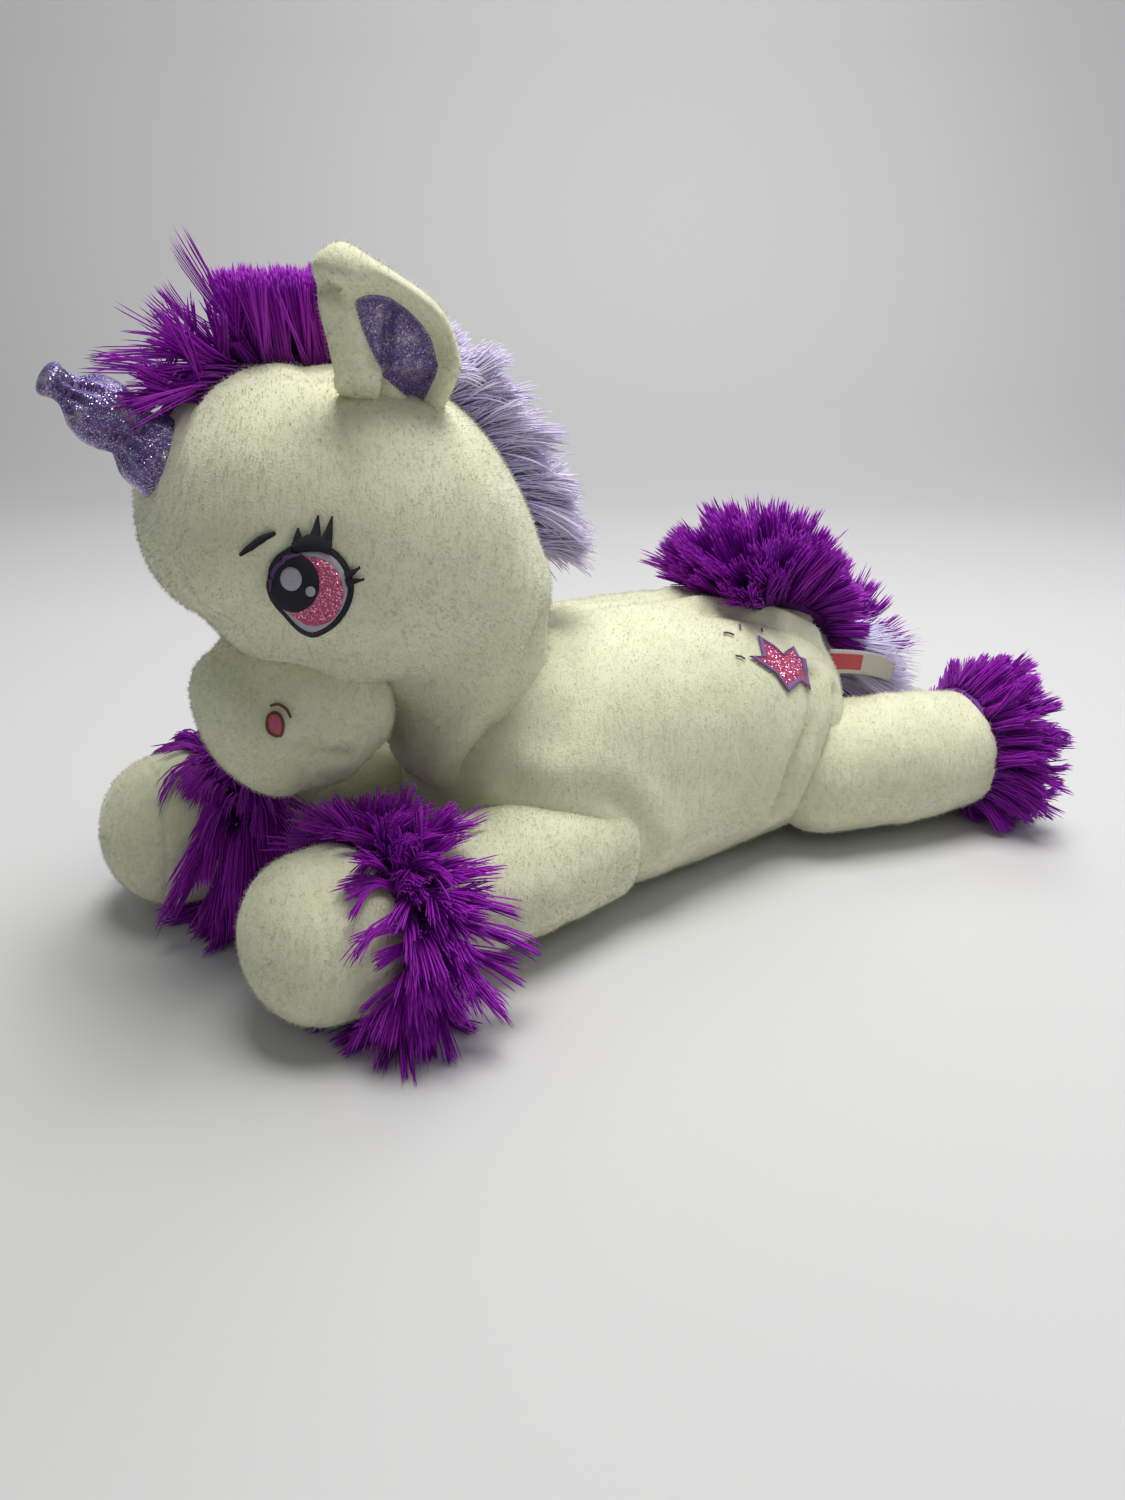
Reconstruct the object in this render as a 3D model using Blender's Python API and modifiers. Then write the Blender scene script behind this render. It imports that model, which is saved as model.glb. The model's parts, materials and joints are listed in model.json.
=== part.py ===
"""Plush unicorn, lying down, as separate sewn and stuffed pieces. Metres, +Z up.

The unicorn faces -Y and its left side is +X. The origin is on the flat of the belly, on the surface
that the toy lies on. A stuffed piece has a fabric cover, which is its form made hollow, and a
stuffing, which is the same form shrunk by the fabric and a small gap.
"""

import math

import bmesh
import bpy
from mathutils import Matrix, Vector

# Driving dimensions
fabric = 0.0020            # plush backing with its short pile
gap = 0.0005               # clearance between neighbouring pieces
swing_gap = 0.0015         # clearance round a piece that swings
swing_step = 15.0          # degrees between the poses that a seat is cleared for
patch_lift = 0.0004        # clearance under a sewn-on patch
patch_thick = 0.0012       # thickness of embroidery and sewn-on patches
round_sides = 16           # sides of the head, the torso and what their seats are cut for
leg_sides = 12             # sides of a leg, a hoof and a cuff
small_sides = 10           # sides of a small form

left, right = 1, -1
parts = None               # the parts' collection, set in main
cutters = None             # the cutters' collection, set in main


# ---------------------------------------------------------------- building blocks
def material(name, colour, roughness, metallic=0.0):
    made = bpy.data.materials.new(name)
    made.use_nodes = True
    shader = made.node_tree.nodes["Principled BSDF"]
    shader.inputs["Base Color"].default_value = (*colour, 1.0)
    shader.inputs["Roughness"].default_value = roughness
    shader.inputs["Metallic"].default_value = metallic
    made.diffuse_color = (*colour, 1.0)
    return made


def make_materials():
    material("cream_plush", (0.80, 0.80, 0.62), 0.9)
    material("stuffing", (0.92, 0.92, 0.90), 1.0)
    material("purple_fur", (0.25, 0.01, 0.50), 0.7)
    material("lavender_fur", (0.50, 0.42, 0.78), 0.7)
    material("lame", (0.36, 0.27, 0.58), 0.35, 0.5)
    material("binding_thread", (0.30, 0.20, 0.50), 0.6)
    material("eye_thread", (0.02, 0.02, 0.03), 0.6)
    material("pink_thread", (0.75, 0.13, 0.28), 0.5)
    material("label_satin", (0.70, 0.10, 0.10), 0.5)


def add_part(name, mesh, finish, origin=Vector((0, 0, 0))):
    """Puts a mesh in the parts' collection, with its origin on its joint's axis."""
    mesh.transform(Matrix.Translation(-origin))
    mesh.materials.append(bpy.data.materials[finish])
    made = bpy.data.objects.new(name, mesh)
    made.location = origin
    parts.objects.link(made)
    return made


def add_cutter(name, mesh):
    made = bpy.data.objects.new(name, mesh)
    made.hide_render = True
    made.display_type = "WIRE"
    cutters.objects.link(made)
    return made


def mesh_of(bm, name):
    bmesh.ops.recalc_face_normals(bm, faces=bm.faces)
    mesh = bpy.data.meshes.new(name)
    bm.to_mesh(mesh)
    bm.free()
    mesh.shade_smooth()
    return mesh


def station_frame(centres, k):
    """The directions along, across and up at station k of a line of centres."""
    ahead = centres[min(k + 1, len(centres) - 1)] - centres[max(k - 1, 0)]
    ahead.normalize()
    across = (Vector((1, 0, 0)) - ahead * ahead.x).normalized()
    return ahead, across, ahead.cross(across)


def form(name, stations, start, end, sides=round_sides, cap_rings=2):
    """A closed stuffed form: a UV sphere drawn out along its stations.

    Each station is (centre, half width, half height). The two ends are rounded over the lengths
    start and end.
    """
    centres = [Vector(station[0]) for station in stations]
    last = len(stations) - 1
    along_first = station_frame(centres, 0)[0]
    along_last = station_frame(centres, last)[0]
    turns = [math.pi / 2 * i / (cap_rings + 1) for i in range(cap_rings + 1)]
    rings = [(0, centres[0] - along_first * start * math.cos(t), math.sin(t)) for t in turns]
    rings += [(k, centres[k], 1.0) for k in range(len(stations))]
    rings += [(last, centres[last] + along_last * end * math.cos(t), math.sin(t)) for t in turns[::-1]]

    bm = bmesh.new()
    bmesh.ops.create_uvsphere(bm, u_segments=sides, v_segments=len(rings) - 1, radius=1.0)
    for vertex in bm.verts:
        polar = math.acos(max(-1.0, min(1.0, vertex.co.z)))
        station, centre, share = rings[round(polar / math.pi * (len(rings) - 1))]
        turn = math.atan2(vertex.co.y, vertex.co.x)
        _, across, up = station_frame(centres, station)
        _, half_width, half_height = stations[station]
        reach = across * half_width * math.cos(turn) + up * half_height * math.sin(turn)
        vertex.co = centre + reach * share
    return mesh_of(bm, name)


def ball(name, centre, radius, sides=round_sides):
    bm = bmesh.new()
    place = Matrix.Translation(centre)
    bmesh.ops.create_uvsphere(bm, u_segments=sides, v_segments=sides // 2, radius=radius, matrix=place)
    return mesh_of(bm, name)


def flattened(mesh, height=0.0):
    """Presses a form flat where it would go below the surface that it lies on."""
    for vertex in mesh.vertices:
        vertex.co.z = max(vertex.co.z, height)
    return mesh


def grown(mesh, distance):
    """A copy of a mesh moved out along its normals, or in if the distance is negative."""
    made = mesh.copy()
    for vertex, original in zip(made.vertices, mesh.vertices):
        vertex.co = original.co + original.normal * distance
    return made


def cut(target, *tools, operation="DIFFERENCE"):
    for tool in tools:
        step = target.modifiers.new(tool.name, "BOOLEAN")
        step.operation = operation
        step.object = tool


def cover(name, mesh, finish, origin=Vector((0, 0, 0))):
    """The form as a hollow fabric cover. What it joins opens it afterwards."""
    made = add_part(name, mesh.copy(), finish, origin)
    wall = made.modifiers.new("fabric", "SOLIDIFY")
    wall.thickness = fabric
    wall.offset = -1.0
    return made


def stuffing(name, mesh, origin=Vector((0, 0, 0))):
    return add_part(name, grown(mesh, -(fabric + gap)), "stuffing", origin)


def swing_seat(name, mesh, pivot, axis, low, high):
    """The room that a form needs to swing from low to high degrees: the hull of its poses."""
    steps = math.ceil((high - low) / swing_step)
    bm = bmesh.new()
    for k in range(steps + 1):
        angle = math.radians(low + (high - low) * k / steps)
        turn = Matrix.Translation(pivot) @ Matrix.Rotation(angle, 4, axis) @ Matrix.Translation(-pivot)
        for vertex in grown(mesh, swing_gap).vertices:
            bm.verts.new(turn @ vertex.co)
    bmesh.ops.convex_hull(bm, input=bm.verts)
    bmesh.ops.delete(bm, geom=[v for v in bm.verts if not v.link_faces], context="VERTS")
    return add_cutter(name, mesh_of(bm, name))


def block(name, corner_low, corner_high):
    """A box cutter between two corners."""
    low, high = Vector(corner_low), Vector(corner_high)
    bm = bmesh.new()
    size = Matrix.Diagonal((*(high - low), 1.0))
    bmesh.ops.create_cube(bm, size=1.0, matrix=Matrix.Translation((low + high) / 2) @ size)
    return add_cutter(name, mesh_of(bm, name))


def prism(name, outline, centre, facing, inward, outward=0.03):
    """A cutter: a flat outline, given as (across, up) points, pushed both ways along facing."""
    facing = Vector(facing).normalized()
    up = (Vector((0, 0, 1)) - facing * facing.z).normalized()
    across = up.cross(facing)
    bm = bmesh.new()
    corners = [Vector(centre) + across * u + up * v - facing * inward for u, v in outline]
    face = bm.faces.new([bm.verts.new(corner) for corner in corners])
    pushed = bmesh.ops.extrude_face_region(bm, geom=[face])["geom"]
    top = [item for item in pushed if isinstance(item, bmesh.types.BMVert)]
    bmesh.ops.translate(bm, verts=top, vec=facing * (inward + outward))
    return add_cutter(name, mesh_of(bm, name))


def patch(name, surface, outline, centre, facing, finish, inward=0.03):
    """A sewn-on patch: the part of a thin skin over a surface that lies inside an outline."""
    made = add_part(name, grown(surface, patch_lift + patch_thick), finish)
    cut(made, add_cutter(name + "_bed", grown(surface, patch_lift)))
    cut(made, prism(name + "_outline", outline, centre, facing, inward), operation="INTERSECT")
    return made


def oval(half_width, half_height, points=16):
    turns = [2 * math.pi * k / points for k in range(points)]
    return [(half_width * math.cos(t), half_height * math.sin(t)) for t in turns]


# ---------------------------------------------------------------- forms and seats
neck_pivot = Vector((0.0, -0.074, 0.086))
neck_radius = 0.040
neck_core_radius = 0.0350    # clears the flats of the cover's faceted ball end
head_nod = (-15, 5)          # degrees, and down is positive
head_stations = [
    (neck_pivot, neck_radius, neck_radius),
    ((0, -0.078, 0.114), 0.0425, 0.0415),
    ((0, -0.095, 0.146), 0.0570, 0.0510),
    ((0, -0.122, 0.168), 0.0670, 0.0630),
    ((0, -0.146, 0.181), 0.0675, 0.0595),
    ((0, -0.168, 0.191), 0.0580, 0.0500),
]
muzzle_stations = [
    ((0, -0.145, 0.108), 0.036, 0.026),
    ((0, -0.158, 0.104), 0.040, 0.032),
    ((0, -0.172, 0.101), 0.036, 0.029),
]
torso_stations = [
    ((0, -0.046, 0.0570), 0.0610, 0.0640),
    ((0, -0.010, 0.0575), 0.0635, 0.0650),
    ((0, 0.030, 0.0565), 0.0635, 0.0630),
    ((0, 0.064, 0.0540), 0.0600, 0.0600),
]

cuff_radius = 0.041          # the fur's dense part, which its strand ends stand out from
leg_shapes = {
    # shift is how far back a leg lies from its pair's usual place
    "front_left": dict(side=left, shift=0.0, rear=False),
    "front_right": dict(side=right, shift=-0.022, rear=False),
    "rear_left": dict(side=left, shift=0.0, rear=True),
    "rear_right": dict(side=right, shift=0.004, rear=True),
}
front_splay = (-4, 35)       # degrees outwards from rest
rear_splay = (-4, 40)

tail_pivot = Vector((0.0, 0.092, 0.092))
tail_lift = (-20, 25)
horn_pivot = Vector((0.0, -0.1865, 0.1965))
horn_bend = (-20, 20)
ear_pivot = Vector((0.047, -0.120, 0.227))
ear_droop = 112.0            # how far the right ear hangs down from upright, degrees
ear_sweep_back = 24.0        # and how far it is swept back


def leg_line(shape):
    """Stations of a leg from its ball root to its ankle, then of its hoof."""
    side, shift = shape["side"], shape["shift"]
    if shape["rear"]:
        leg = [
            ((0.043, 0.090, 0.036), 0.0330, 0.0330),
            ((0.051, 0.122, 0.036), 0.0320, 0.0320),
            ((0.058, 0.150, 0.036), 0.0305, 0.0300),
            ((0.065, 0.178, 0.0365), 0.0275, 0.0275),
        ]
        hoof = [
            ((0.067, 0.184, 0.0365), 0.0280, 0.0280),
            ((0.071, 0.196, 0.0360), 0.0325, 0.0340),
            ((0.074, 0.204, 0.0360), 0.0310, 0.0330),
        ]
    else:
        leg = [
            ((0.046, -0.045, 0.034), 0.0290, 0.0290),
            ((0.050, -0.080, 0.0345), 0.0285, 0.0285),
            ((0.054, -0.112, 0.035), 0.0275, 0.0275),
            ((0.057, -0.144, 0.036), 0.0265, 0.0265),
        ]
        hoof = [
            ((0.0575, -0.150, 0.036), 0.0275, 0.0275),
            ((0.058, -0.164, 0.036), 0.0330, 0.0350),
            ((0.059, -0.182, 0.036), 0.0325, 0.0350),
        ]
    move = Matrix.Translation((0, shift, 0)) @ Matrix.Diagonal((side, 1, 1, 1))
    place = lambda stations: [(move @ Vector(centre), width, height) for centre, width, height in stations]
    return place(leg), place(hoof)


# ---------------------------------------------------------------- the pieces
def make_torso(head_seat, leg_seats, tail_seat):
    body = flattened(form("torso", torso_stations, 0.058, 0.056))
    shell = cover("torso_cover", body, "cream_plush")
    filling = stuffing("torso_stuffing", body)
    for piece in (shell, filling):
        cut(piece, head_seat, *leg_seats, tail_seat)
    crown = [(-0.012, -0.008), (0.011, -0.009), (0.0145, 0.006), (0.006, 0.001), (0.001, 0.012),
             (-0.005, 0.002), (-0.0135, 0.008)]
    patch("crown_applique", body, crown, (0.045, 0.064, 0.093), (0.8, 0, 0.6), "pink_thread")


def make_neck_and_head(ear_seats, horn_seat):
    head = form("head", head_stations, neck_radius, 0.033)
    muzzle = form("muzzle", muzzle_stations, 0.020, 0.021)
    add_part("neck_stuffing", ball("neck_stuffing", neck_pivot, neck_core_radius), "stuffing", neck_pivot)
    core_seat = add_cutter("neck_seat", ball("neck_seat", neck_pivot, neck_core_radius + swing_gap))
    neck_mouth = block("neck_mouth", (-0.020, -0.094, 0.036), (0.020, -0.054, 0.066))

    shell = cover("head_cover", head, "cream_plush", neck_pivot)
    filling = stuffing("head_stuffing", head, neck_pivot)
    cut(shell, neck_mouth, *ear_seats, horn_seat)
    cut(filling, core_seat, *ear_seats, horn_seat)

    head_bed = add_cutter("head_bed", grown(head, gap))
    snout = cover("muzzle_cover", muzzle, "cream_plush", neck_pivot)
    snout_filling = stuffing("muzzle_stuffing", muzzle, neck_pivot)
    cut(snout, head_bed)
    cut(snout_filling, head_bed)

    for side, word in ((left, "left"), (right, "right")):
        patch("eye_" + word, head, oval(0.0185, 0.0195), (side * 0.06, -0.166, 0.172),
              (side * 0.85, -0.5, 0), "eye_thread")
        brow = [(-0.010, -0.002), (0.000, 0.002), (0.009, 0.001), (0.010, 0.003), (0.000, 0.005),
                (-0.010, 0.001)]
        brow = brow if side == left else [(-u, v) for u, v in brow[::-1]]
        patch("brow_" + word, head, brow, (side * 0.05, -0.182, 0.196),
              (side * 0.7, -0.7, 0.1), "eye_thread")
        patch("nostril_" + word, muzzle, oval(0.0045, 0.006), (side * 0.033, -0.174, 0.113),
              (side * 0.8, -0.6, 0.25), "pink_thread")
    return head, head_bed


def make_hair(head_bed, ear_seats, horn_seat):
    """The forelock on the crown and the mane down the back of the neck."""
    forelock = form("forelock", [
        ((0, -0.182, 0.222), 0.020, 0.016),
        ((0, -0.165, 0.240), 0.026, 0.020),
        ((0, -0.140, 0.248), 0.028, 0.021),
        ((0, -0.118, 0.244), 0.024, 0.020),
    ], 0.012, 0.012, small_sides)
    mane = form("mane", [
        ((0, -0.090, 0.236), 0.018, 0.012),
        ((0, -0.068, 0.215), 0.020, 0.015),
        ((0, -0.048, 0.186), 0.020, 0.017),
        ((0, -0.035, 0.154), 0.016, 0.014),
    ], 0.008, 0.010, small_sides)
    for name, mesh, finish in (("forelock", forelock, "purple_fur"), ("mane", mane, "lavender_fur")):
        cut(add_part(name, mesh, finish, neck_pivot), head_bed, *ear_seats, horn_seat)


def ear_turn(side):
    """Where an ear lies: the left one stands up and the right one hangs out and back."""
    pivot = Vector((ear_pivot.x * side, ear_pivot.y, ear_pivot.z))
    if side == left:
        return pivot, Matrix.Identity(4)
    fall = Matrix.Rotation(math.radians(-ear_droop), 4, "Y")
    back = Matrix.Rotation(math.radians(ear_sweep_back), 4, "X")
    return pivot, Matrix.Translation(pivot) @ fall @ back @ Matrix.Translation(-pivot)


def make_ears():
    """Both ears with their linings. Returns the seats that their swing needs in the head."""
    seats = []
    for side, word in ((left, "left"), (right, "right")):
        pivot, turn = ear_turn(side)
        stations = [
            (pivot, 0.0070, 0.0180),
            (pivot + Vector((0.002 * side, 0.001, 0.012)), 0.0085, 0.0245),
            (pivot + Vector((0.003 * side, -0.006, 0.026)), 0.0085, 0.0250),
            (pivot + Vector((0.002 * side, -0.016, 0.039)), 0.0080, 0.0170),
        ]
        ear = form("ear", stations, 0.0070, 0.010, small_sides)
        lining = [(-0.012, 0.010), (-0.006, -0.006), (0.001, -0.015), (0.013, -0.012), (0.013, 0.000),
                  (0.006, 0.012), (-0.004, 0.016)]
        lining = lining if side == left else [(-u, v) for u, v in lining[::-1]]
        bed = pivot + Vector((0.008 * side, -0.002, 0.022))
        inner = patch("ear_lining_" + word, ear, lining, bed, (side, 0, 0), "lame", 0.005)
        for step in inner.modifiers:
            step.object.data.transform(turn)
        inner.data.transform(turn)
        ear.transform(turn)
        add_part("ear_" + word, ear.copy(), "cream_plush", pivot)
        limits = (-15, 70) if side == left else (-8, 100)
        lined = grown(ear, patch_lift + patch_thick)
        seats.append(swing_seat("ear_seat_" + word, lined, pivot, "Y", *limits))
    return seats


def make_horn():
    """The stuffed horn, drawn in by two bindings. Returns the seat that it bends in."""
    stations = [
        (horn_pivot, 0.0128, 0.0128),
        ((0, -0.1950, 0.2060), 0.0130, 0.0130),
        ((0, -0.2035, 0.2165), 0.0088, 0.0088),
        ((0, -0.2110, 0.2240), 0.0108, 0.0108),
        ((0, -0.2185, 0.2290), 0.0058, 0.0058),
        ((0, -0.2240, 0.2330), 0.0062, 0.0062),
    ]
    horn = form("horn", stations, 0.0128, 0.004, small_sides)
    shell = cover("horn_cover", horn, "lame", horn_pivot)
    shell.modifiers["fabric"].thickness = fabric / 2
    mouth = block("horn_mouth", (-0.005, -0.189, 0.180), (0.005, -0.179, 0.190))
    cut(shell, mouth)
    filling = grown(horn, -(fabric / 2 + gap))
    add_part("horn_stuffing", filling, "stuffing", horn_pivot)
    for word, k, radius in (("lower", 2, 0.0006), ("upper", 4, 0.0006)):
        centre, ring = Vector(stations[k][0]), stations[k][1] + gap + radius
        ahead = station_frame([Vector(s[0]) for s in stations], k)[0]
        bpy.ops.mesh.primitive_torus_add(major_segments=18, minor_segments=5, major_radius=ring,
                                         minor_radius=radius)
        loop = bpy.context.object
        loop.data.transform(Matrix.Translation(centre) @ ahead.to_track_quat("Z", "X").to_matrix().to_4x4())
        add_part("horn_binding_" + word, loop.data.copy(), "binding_thread", horn_pivot)
        bpy.data.objects.remove(loop)
    return swing_seat("horn_seat", horn, horn_pivot, "X", *horn_bend)


def make_tail():
    """The tail: a stuffed dock with purple fur over it and lavender fur under it."""
    dock = form("dock", [
        (tail_pivot, 0.0150, 0.0150),
        ((0, 0.106, 0.110), 0.0140, 0.0140),
        ((0, 0.122, 0.122), 0.0120, 0.0120),
    ], 0.0150, 0.010, small_sides)
    add_part("tail_dock", dock.copy(), "cream_plush", tail_pivot)
    dock_bed = add_cutter("dock_bed", grown(dock, gap))
    plume = form("plume", [
        ((0, 0.074, 0.138), 0.018, 0.010),
        ((0, 0.100, 0.138), 0.026, 0.021),
        ((0, 0.126, 0.126), 0.029, 0.027),
        ((0, 0.143, 0.100), 0.023, 0.020),
    ], 0.010, 0.014, leg_sides)
    under = form("under", [
        ((0, 0.143, 0.096), 0.020, 0.018),
        ((0, 0.156, 0.076), 0.019, 0.014),
        ((0, 0.166, 0.058), 0.014, 0.010),
    ], 0.008, 0.008, small_sides)
    plume_bed = add_cutter("plume_bed", grown(plume, gap))
    cut(add_part("tail_fur", plume, "purple_fur", tail_pivot), dock_bed)
    cut(add_part("tail_underfur", under, "lavender_fur", tail_pivot), plume_bed)
    return swing_seat("tail_seat", dock, tail_pivot, "X", *tail_lift)


def make_leg(word, shape):
    """One leg, its hoof and its fur cuff. Returns the seat that it swings in."""
    leg_stations, hoof_stations = leg_line(shape)
    root = leg_stations[0][0]
    ankle, toe = leg_stations[-1][0], hoof_stations[-1][0]
    forwards = (toe - ankle).normalized()
    root_radius = leg_stations[0][1]
    leg = flattened(form("leg", leg_stations, root_radius, 0.010, leg_sides), 0.0005)
    hoof = flattened(form("hoof", hoof_stations, 0.012, 0.023, leg_sides), 0.0005)

    # the two covers meet at the ankle, and each is open there
    middle = ankle + forwards * 0.004
    facing = forwards.to_track_quat("Z", "X").to_matrix().to_4x4()
    beyond = Matrix.Translation((0, 0, 0.1 - gap / 2))
    behind = Matrix.Translation((0, 0, -0.1 + gap / 2))
    ends = []
    for name, offset in (("leg_end_" + word, beyond), ("hoof_end_" + word, behind)):
        bm = bmesh.new()
        place = Matrix.Translation(middle) @ facing @ offset
        bmesh.ops.create_cube(bm, size=0.2, matrix=place)
        ends.append(add_cutter(name, mesh_of(bm, name)))
    for name, mesh, end in ((word + "_leg", leg, ends[0]), (word + "_hoof", hoof, ends[1])):
        cut(cover(name + "_cover", mesh, "cream_plush", root), end)
        cut(stuffing(name + "_stuffing", mesh, root), end)

    ends_at = (-0.012, 0.026) if shape["rear"] else (-0.018, 0.014)
    cuff_stations = [(middle + forwards * end, cuff_radius, cuff_radius) for end in ends_at]
    cuff = form("cuff", cuff_stations, 0.004, 0.004, leg_sides, cap_rings=0)
    band = cut_ring(word, leg, hoof)
    cut(add_part(word + "_cuff", flattened(cuff, 0.0005), "purple_fur", root), *band)
    limits = rear_splay if shape["rear"] else front_splay
    # outwards is anticlockwise from above for a left rear leg, and clockwise for a left front one
    sense = -shape["side"] if shape["rear"] else shape["side"]
    low, high = sorted(sense * limit for limit in limits)
    return swing_seat("leg_seat_" + word, leg, root, "Z", low, high)


def cut_ring(word, leg, hoof):
    """What a cuff goes round: the leg and the hoof inside it, with a gap."""
    return [add_cutter(f"{name}_in_cuff_{word}", grown(mesh, gap))
            for name, mesh in (("leg", leg), ("hoof", hoof))]


def make_label():
    """The sewn-in label by the tail: a thin strip that curves down."""
    bm = bmesh.new()
    rows = [(0.030, 0.107, 0.085), (0.031, 0.118, 0.084), (0.032, 0.129, 0.082), (0.031, 0.140, 0.079),
            (0.029, 0.151, 0.075)]
    edges = [[bm.verts.new((x, y, z + rise)) for x, y, z in rows] for rise in (-0.006, 0.006)]
    for k in range(len(rows) - 1):
        bm.faces.new((edges[0][k], edges[1][k], edges[1][k + 1], edges[0][k + 1]))
    made = add_part("sewn_label", mesh_of(bm, "sewn_label"), "label_satin")
    sheet = made.modifiers.new("two layers", "SOLIDIFY")
    sheet.thickness = 0.0008


def main():
    global parts, cutters
    for thing in list(bpy.data.objects):
        bpy.data.objects.remove(thing)
    parts = bpy.data.collections.new("plush_unicorn")
    cutters = bpy.data.collections.new("cutters")
    for group in (parts, cutters):
        bpy.context.scene.collection.children.link(group)
    cutters.hide_render = True
    make_materials()

    neck = form("neck", head_stations[:3], neck_radius, 0.010)
    head_seat = swing_seat("head_seat", neck, neck_pivot, "X", *head_nod)
    leg_seats = [make_leg(word, shape) for word, shape in leg_shapes.items()]
    tail_seat = make_tail()
    make_torso(head_seat, leg_seats, tail_seat)
    ear_seats = make_ears()
    horn_seat = make_horn()
    _, head_bed = make_neck_and_head(ear_seats, horn_seat)
    make_hair(head_bed, ear_seats, horn_seat)
    make_label()


main()
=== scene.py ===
import json
import math

import bmesh
import bpy
import numpy as np
from mathutils import Matrix, Vector, noise
from mathutils.bvhtree import BVHTree


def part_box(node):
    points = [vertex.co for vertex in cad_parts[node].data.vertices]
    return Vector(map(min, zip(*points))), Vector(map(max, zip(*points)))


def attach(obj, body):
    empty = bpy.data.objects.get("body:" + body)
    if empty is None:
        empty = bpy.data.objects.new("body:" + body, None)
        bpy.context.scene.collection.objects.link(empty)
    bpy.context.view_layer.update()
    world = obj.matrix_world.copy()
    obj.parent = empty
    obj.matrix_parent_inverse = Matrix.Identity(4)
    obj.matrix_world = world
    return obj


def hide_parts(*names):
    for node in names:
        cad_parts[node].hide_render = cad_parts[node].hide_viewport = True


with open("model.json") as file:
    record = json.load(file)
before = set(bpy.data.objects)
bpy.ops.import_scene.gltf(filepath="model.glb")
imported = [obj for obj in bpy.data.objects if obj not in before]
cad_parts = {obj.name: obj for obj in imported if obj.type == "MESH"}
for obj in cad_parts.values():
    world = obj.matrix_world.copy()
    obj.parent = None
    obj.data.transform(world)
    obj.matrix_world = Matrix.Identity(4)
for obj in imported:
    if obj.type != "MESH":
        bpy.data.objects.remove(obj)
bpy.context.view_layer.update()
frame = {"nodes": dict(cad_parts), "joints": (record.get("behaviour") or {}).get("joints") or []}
rng = np.random.default_rng(7)
pivots = {joint["name"]: np.array(joint["pos_m"], float) for joint in frame["joints"]}
print("frame loaded:", len(frame["nodes"]), "solids")

toy = bpy.data.collections.new("plushUnicorn")
bpy.context.scene.collection.children.link(toy)


# small number helpers

def unit(v):
    return v / np.maximum(np.linalg.norm(v, axis=-1, keepdims=True), 1e-12)


def ease(t):
    t = np.clip(t, 0.0, 1.0)
    return t * t * (3.0 - 2.0 * t)


# smooth noise from -1 to 1 at each point
def lumps(co, size, seed=0.0):
    step = Vector((seed, seed * 0.37, -seed * 0.71))
    return np.array([noise.noise(Vector(p) / size + step) for p in co])


# cubic curve through values given at places, read at other places
def throughStations(values, places, at):
    slope = np.gradient(values, places, axis=0)
    k = np.clip(np.searchsorted(places, at) - 1, 0, len(places) - 2)
    span = (places[k + 1] - places[k])[:, None]
    t = ((at - places[k])[:, None]) / span
    a, b = values[k], values[k + 1]
    ma, mb = slope[k] * span, slope[k + 1] * span
    return ((2 * t**3 - 3 * t**2 + 1) * a + (t**3 - 2 * t**2 + t) * ma
            + (3 * t**2 - 2 * t**3) * b + (t**3 - t**2) * mb)


# running distance along a line of points
def runAlong(line):
    return np.concatenate([[0.0], np.cumsum(np.linalg.norm(np.diff(line, axis=0), axis=1))])


# mesh helpers

def newObject(name, mesh, mat):
    made = bpy.data.objects.new(name, mesh)
    toy.objects.link(made)
    mesh.materials.append(mat)
    return made


def triangleMesh(name, co, tris):
    mesh = bpy.data.meshes.new(name)
    mesh.vertices.add(len(co))
    mesh.vertices.foreach_set("co", np.ascontiguousarray(co, np.float32).ravel())
    mesh.loops.add(len(tris) * 3)
    mesh.loops.foreach_set("vertex_index", np.ascontiguousarray(tris, np.int32).ravel())
    mesh.polygons.add(len(tris))
    mesh.polygons.foreach_set("loop_start", np.arange(0, len(tris) * 3, 3, dtype=np.int32))
    mesh.update(calc_edges=True)
    return mesh


# four-sided faces between rows of points, each row a ring when closed
def gridFaces(rows, across, closed=True):
    faces = []
    for row in range(rows - 1):
        for k in range(across if closed else across - 1):
            a, b = row * across + k, row * across + (k + 1) % across
            faces.append((a, b, b + across, a + across))
    return faces


def coords(mesh):
    co = np.empty(len(mesh.vertices) * 3, np.float32)
    mesh.vertices.foreach_get("co", co)
    return co.reshape(-1, 3).astype(float)


def setCoords(mesh, co):
    mesh.vertices.foreach_set("co", np.ascontiguousarray(co, np.float32).ravel())
    mesh.update()


def normals(mesh):
    no = np.empty(len(mesh.vertices) * 3, np.float32)
    mesh.vertex_normals.foreach_get("vector", no)
    return no.reshape(-1, 3).astype(float)


# welds points that meet, and turns every face outward, or all of them toward a direction
def faceOutward(mesh, weld=0.0, toward=None):
    bm = bmesh.new()
    bm.from_mesh(mesh)
    if weld:
        bmesh.ops.remove_doubles(bm, verts=bm.verts, dist=weld)
    bmesh.ops.recalc_face_normals(bm, faces=bm.faces)
    if toward is not None and sum(face.normal.dot(toward) for face in bm.faces) < 0:
        bmesh.ops.reverse_faces(bm, faces=bm.faces)
    bm.to_mesh(mesh)
    bm.free()
    mesh.shade_smooth()


# evens out a mesh a little
def relax(mesh, passes=3):
    bm = bmesh.new()
    bm.from_mesh(mesh)
    for _ in range(passes):
        bmesh.ops.smooth_vert(bm, verts=bm.verts, factor=0.5,
                              use_axis_x=True, use_axis_y=True, use_axis_z=True)
    bm.to_mesh(mesh)
    bm.free()


def surfaceOf(mesh):
    bm = bmesh.new()
    bm.from_mesh(mesh)
    tree = BVHTree.FromBMesh(bm)
    bm.free()
    return tree


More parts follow.
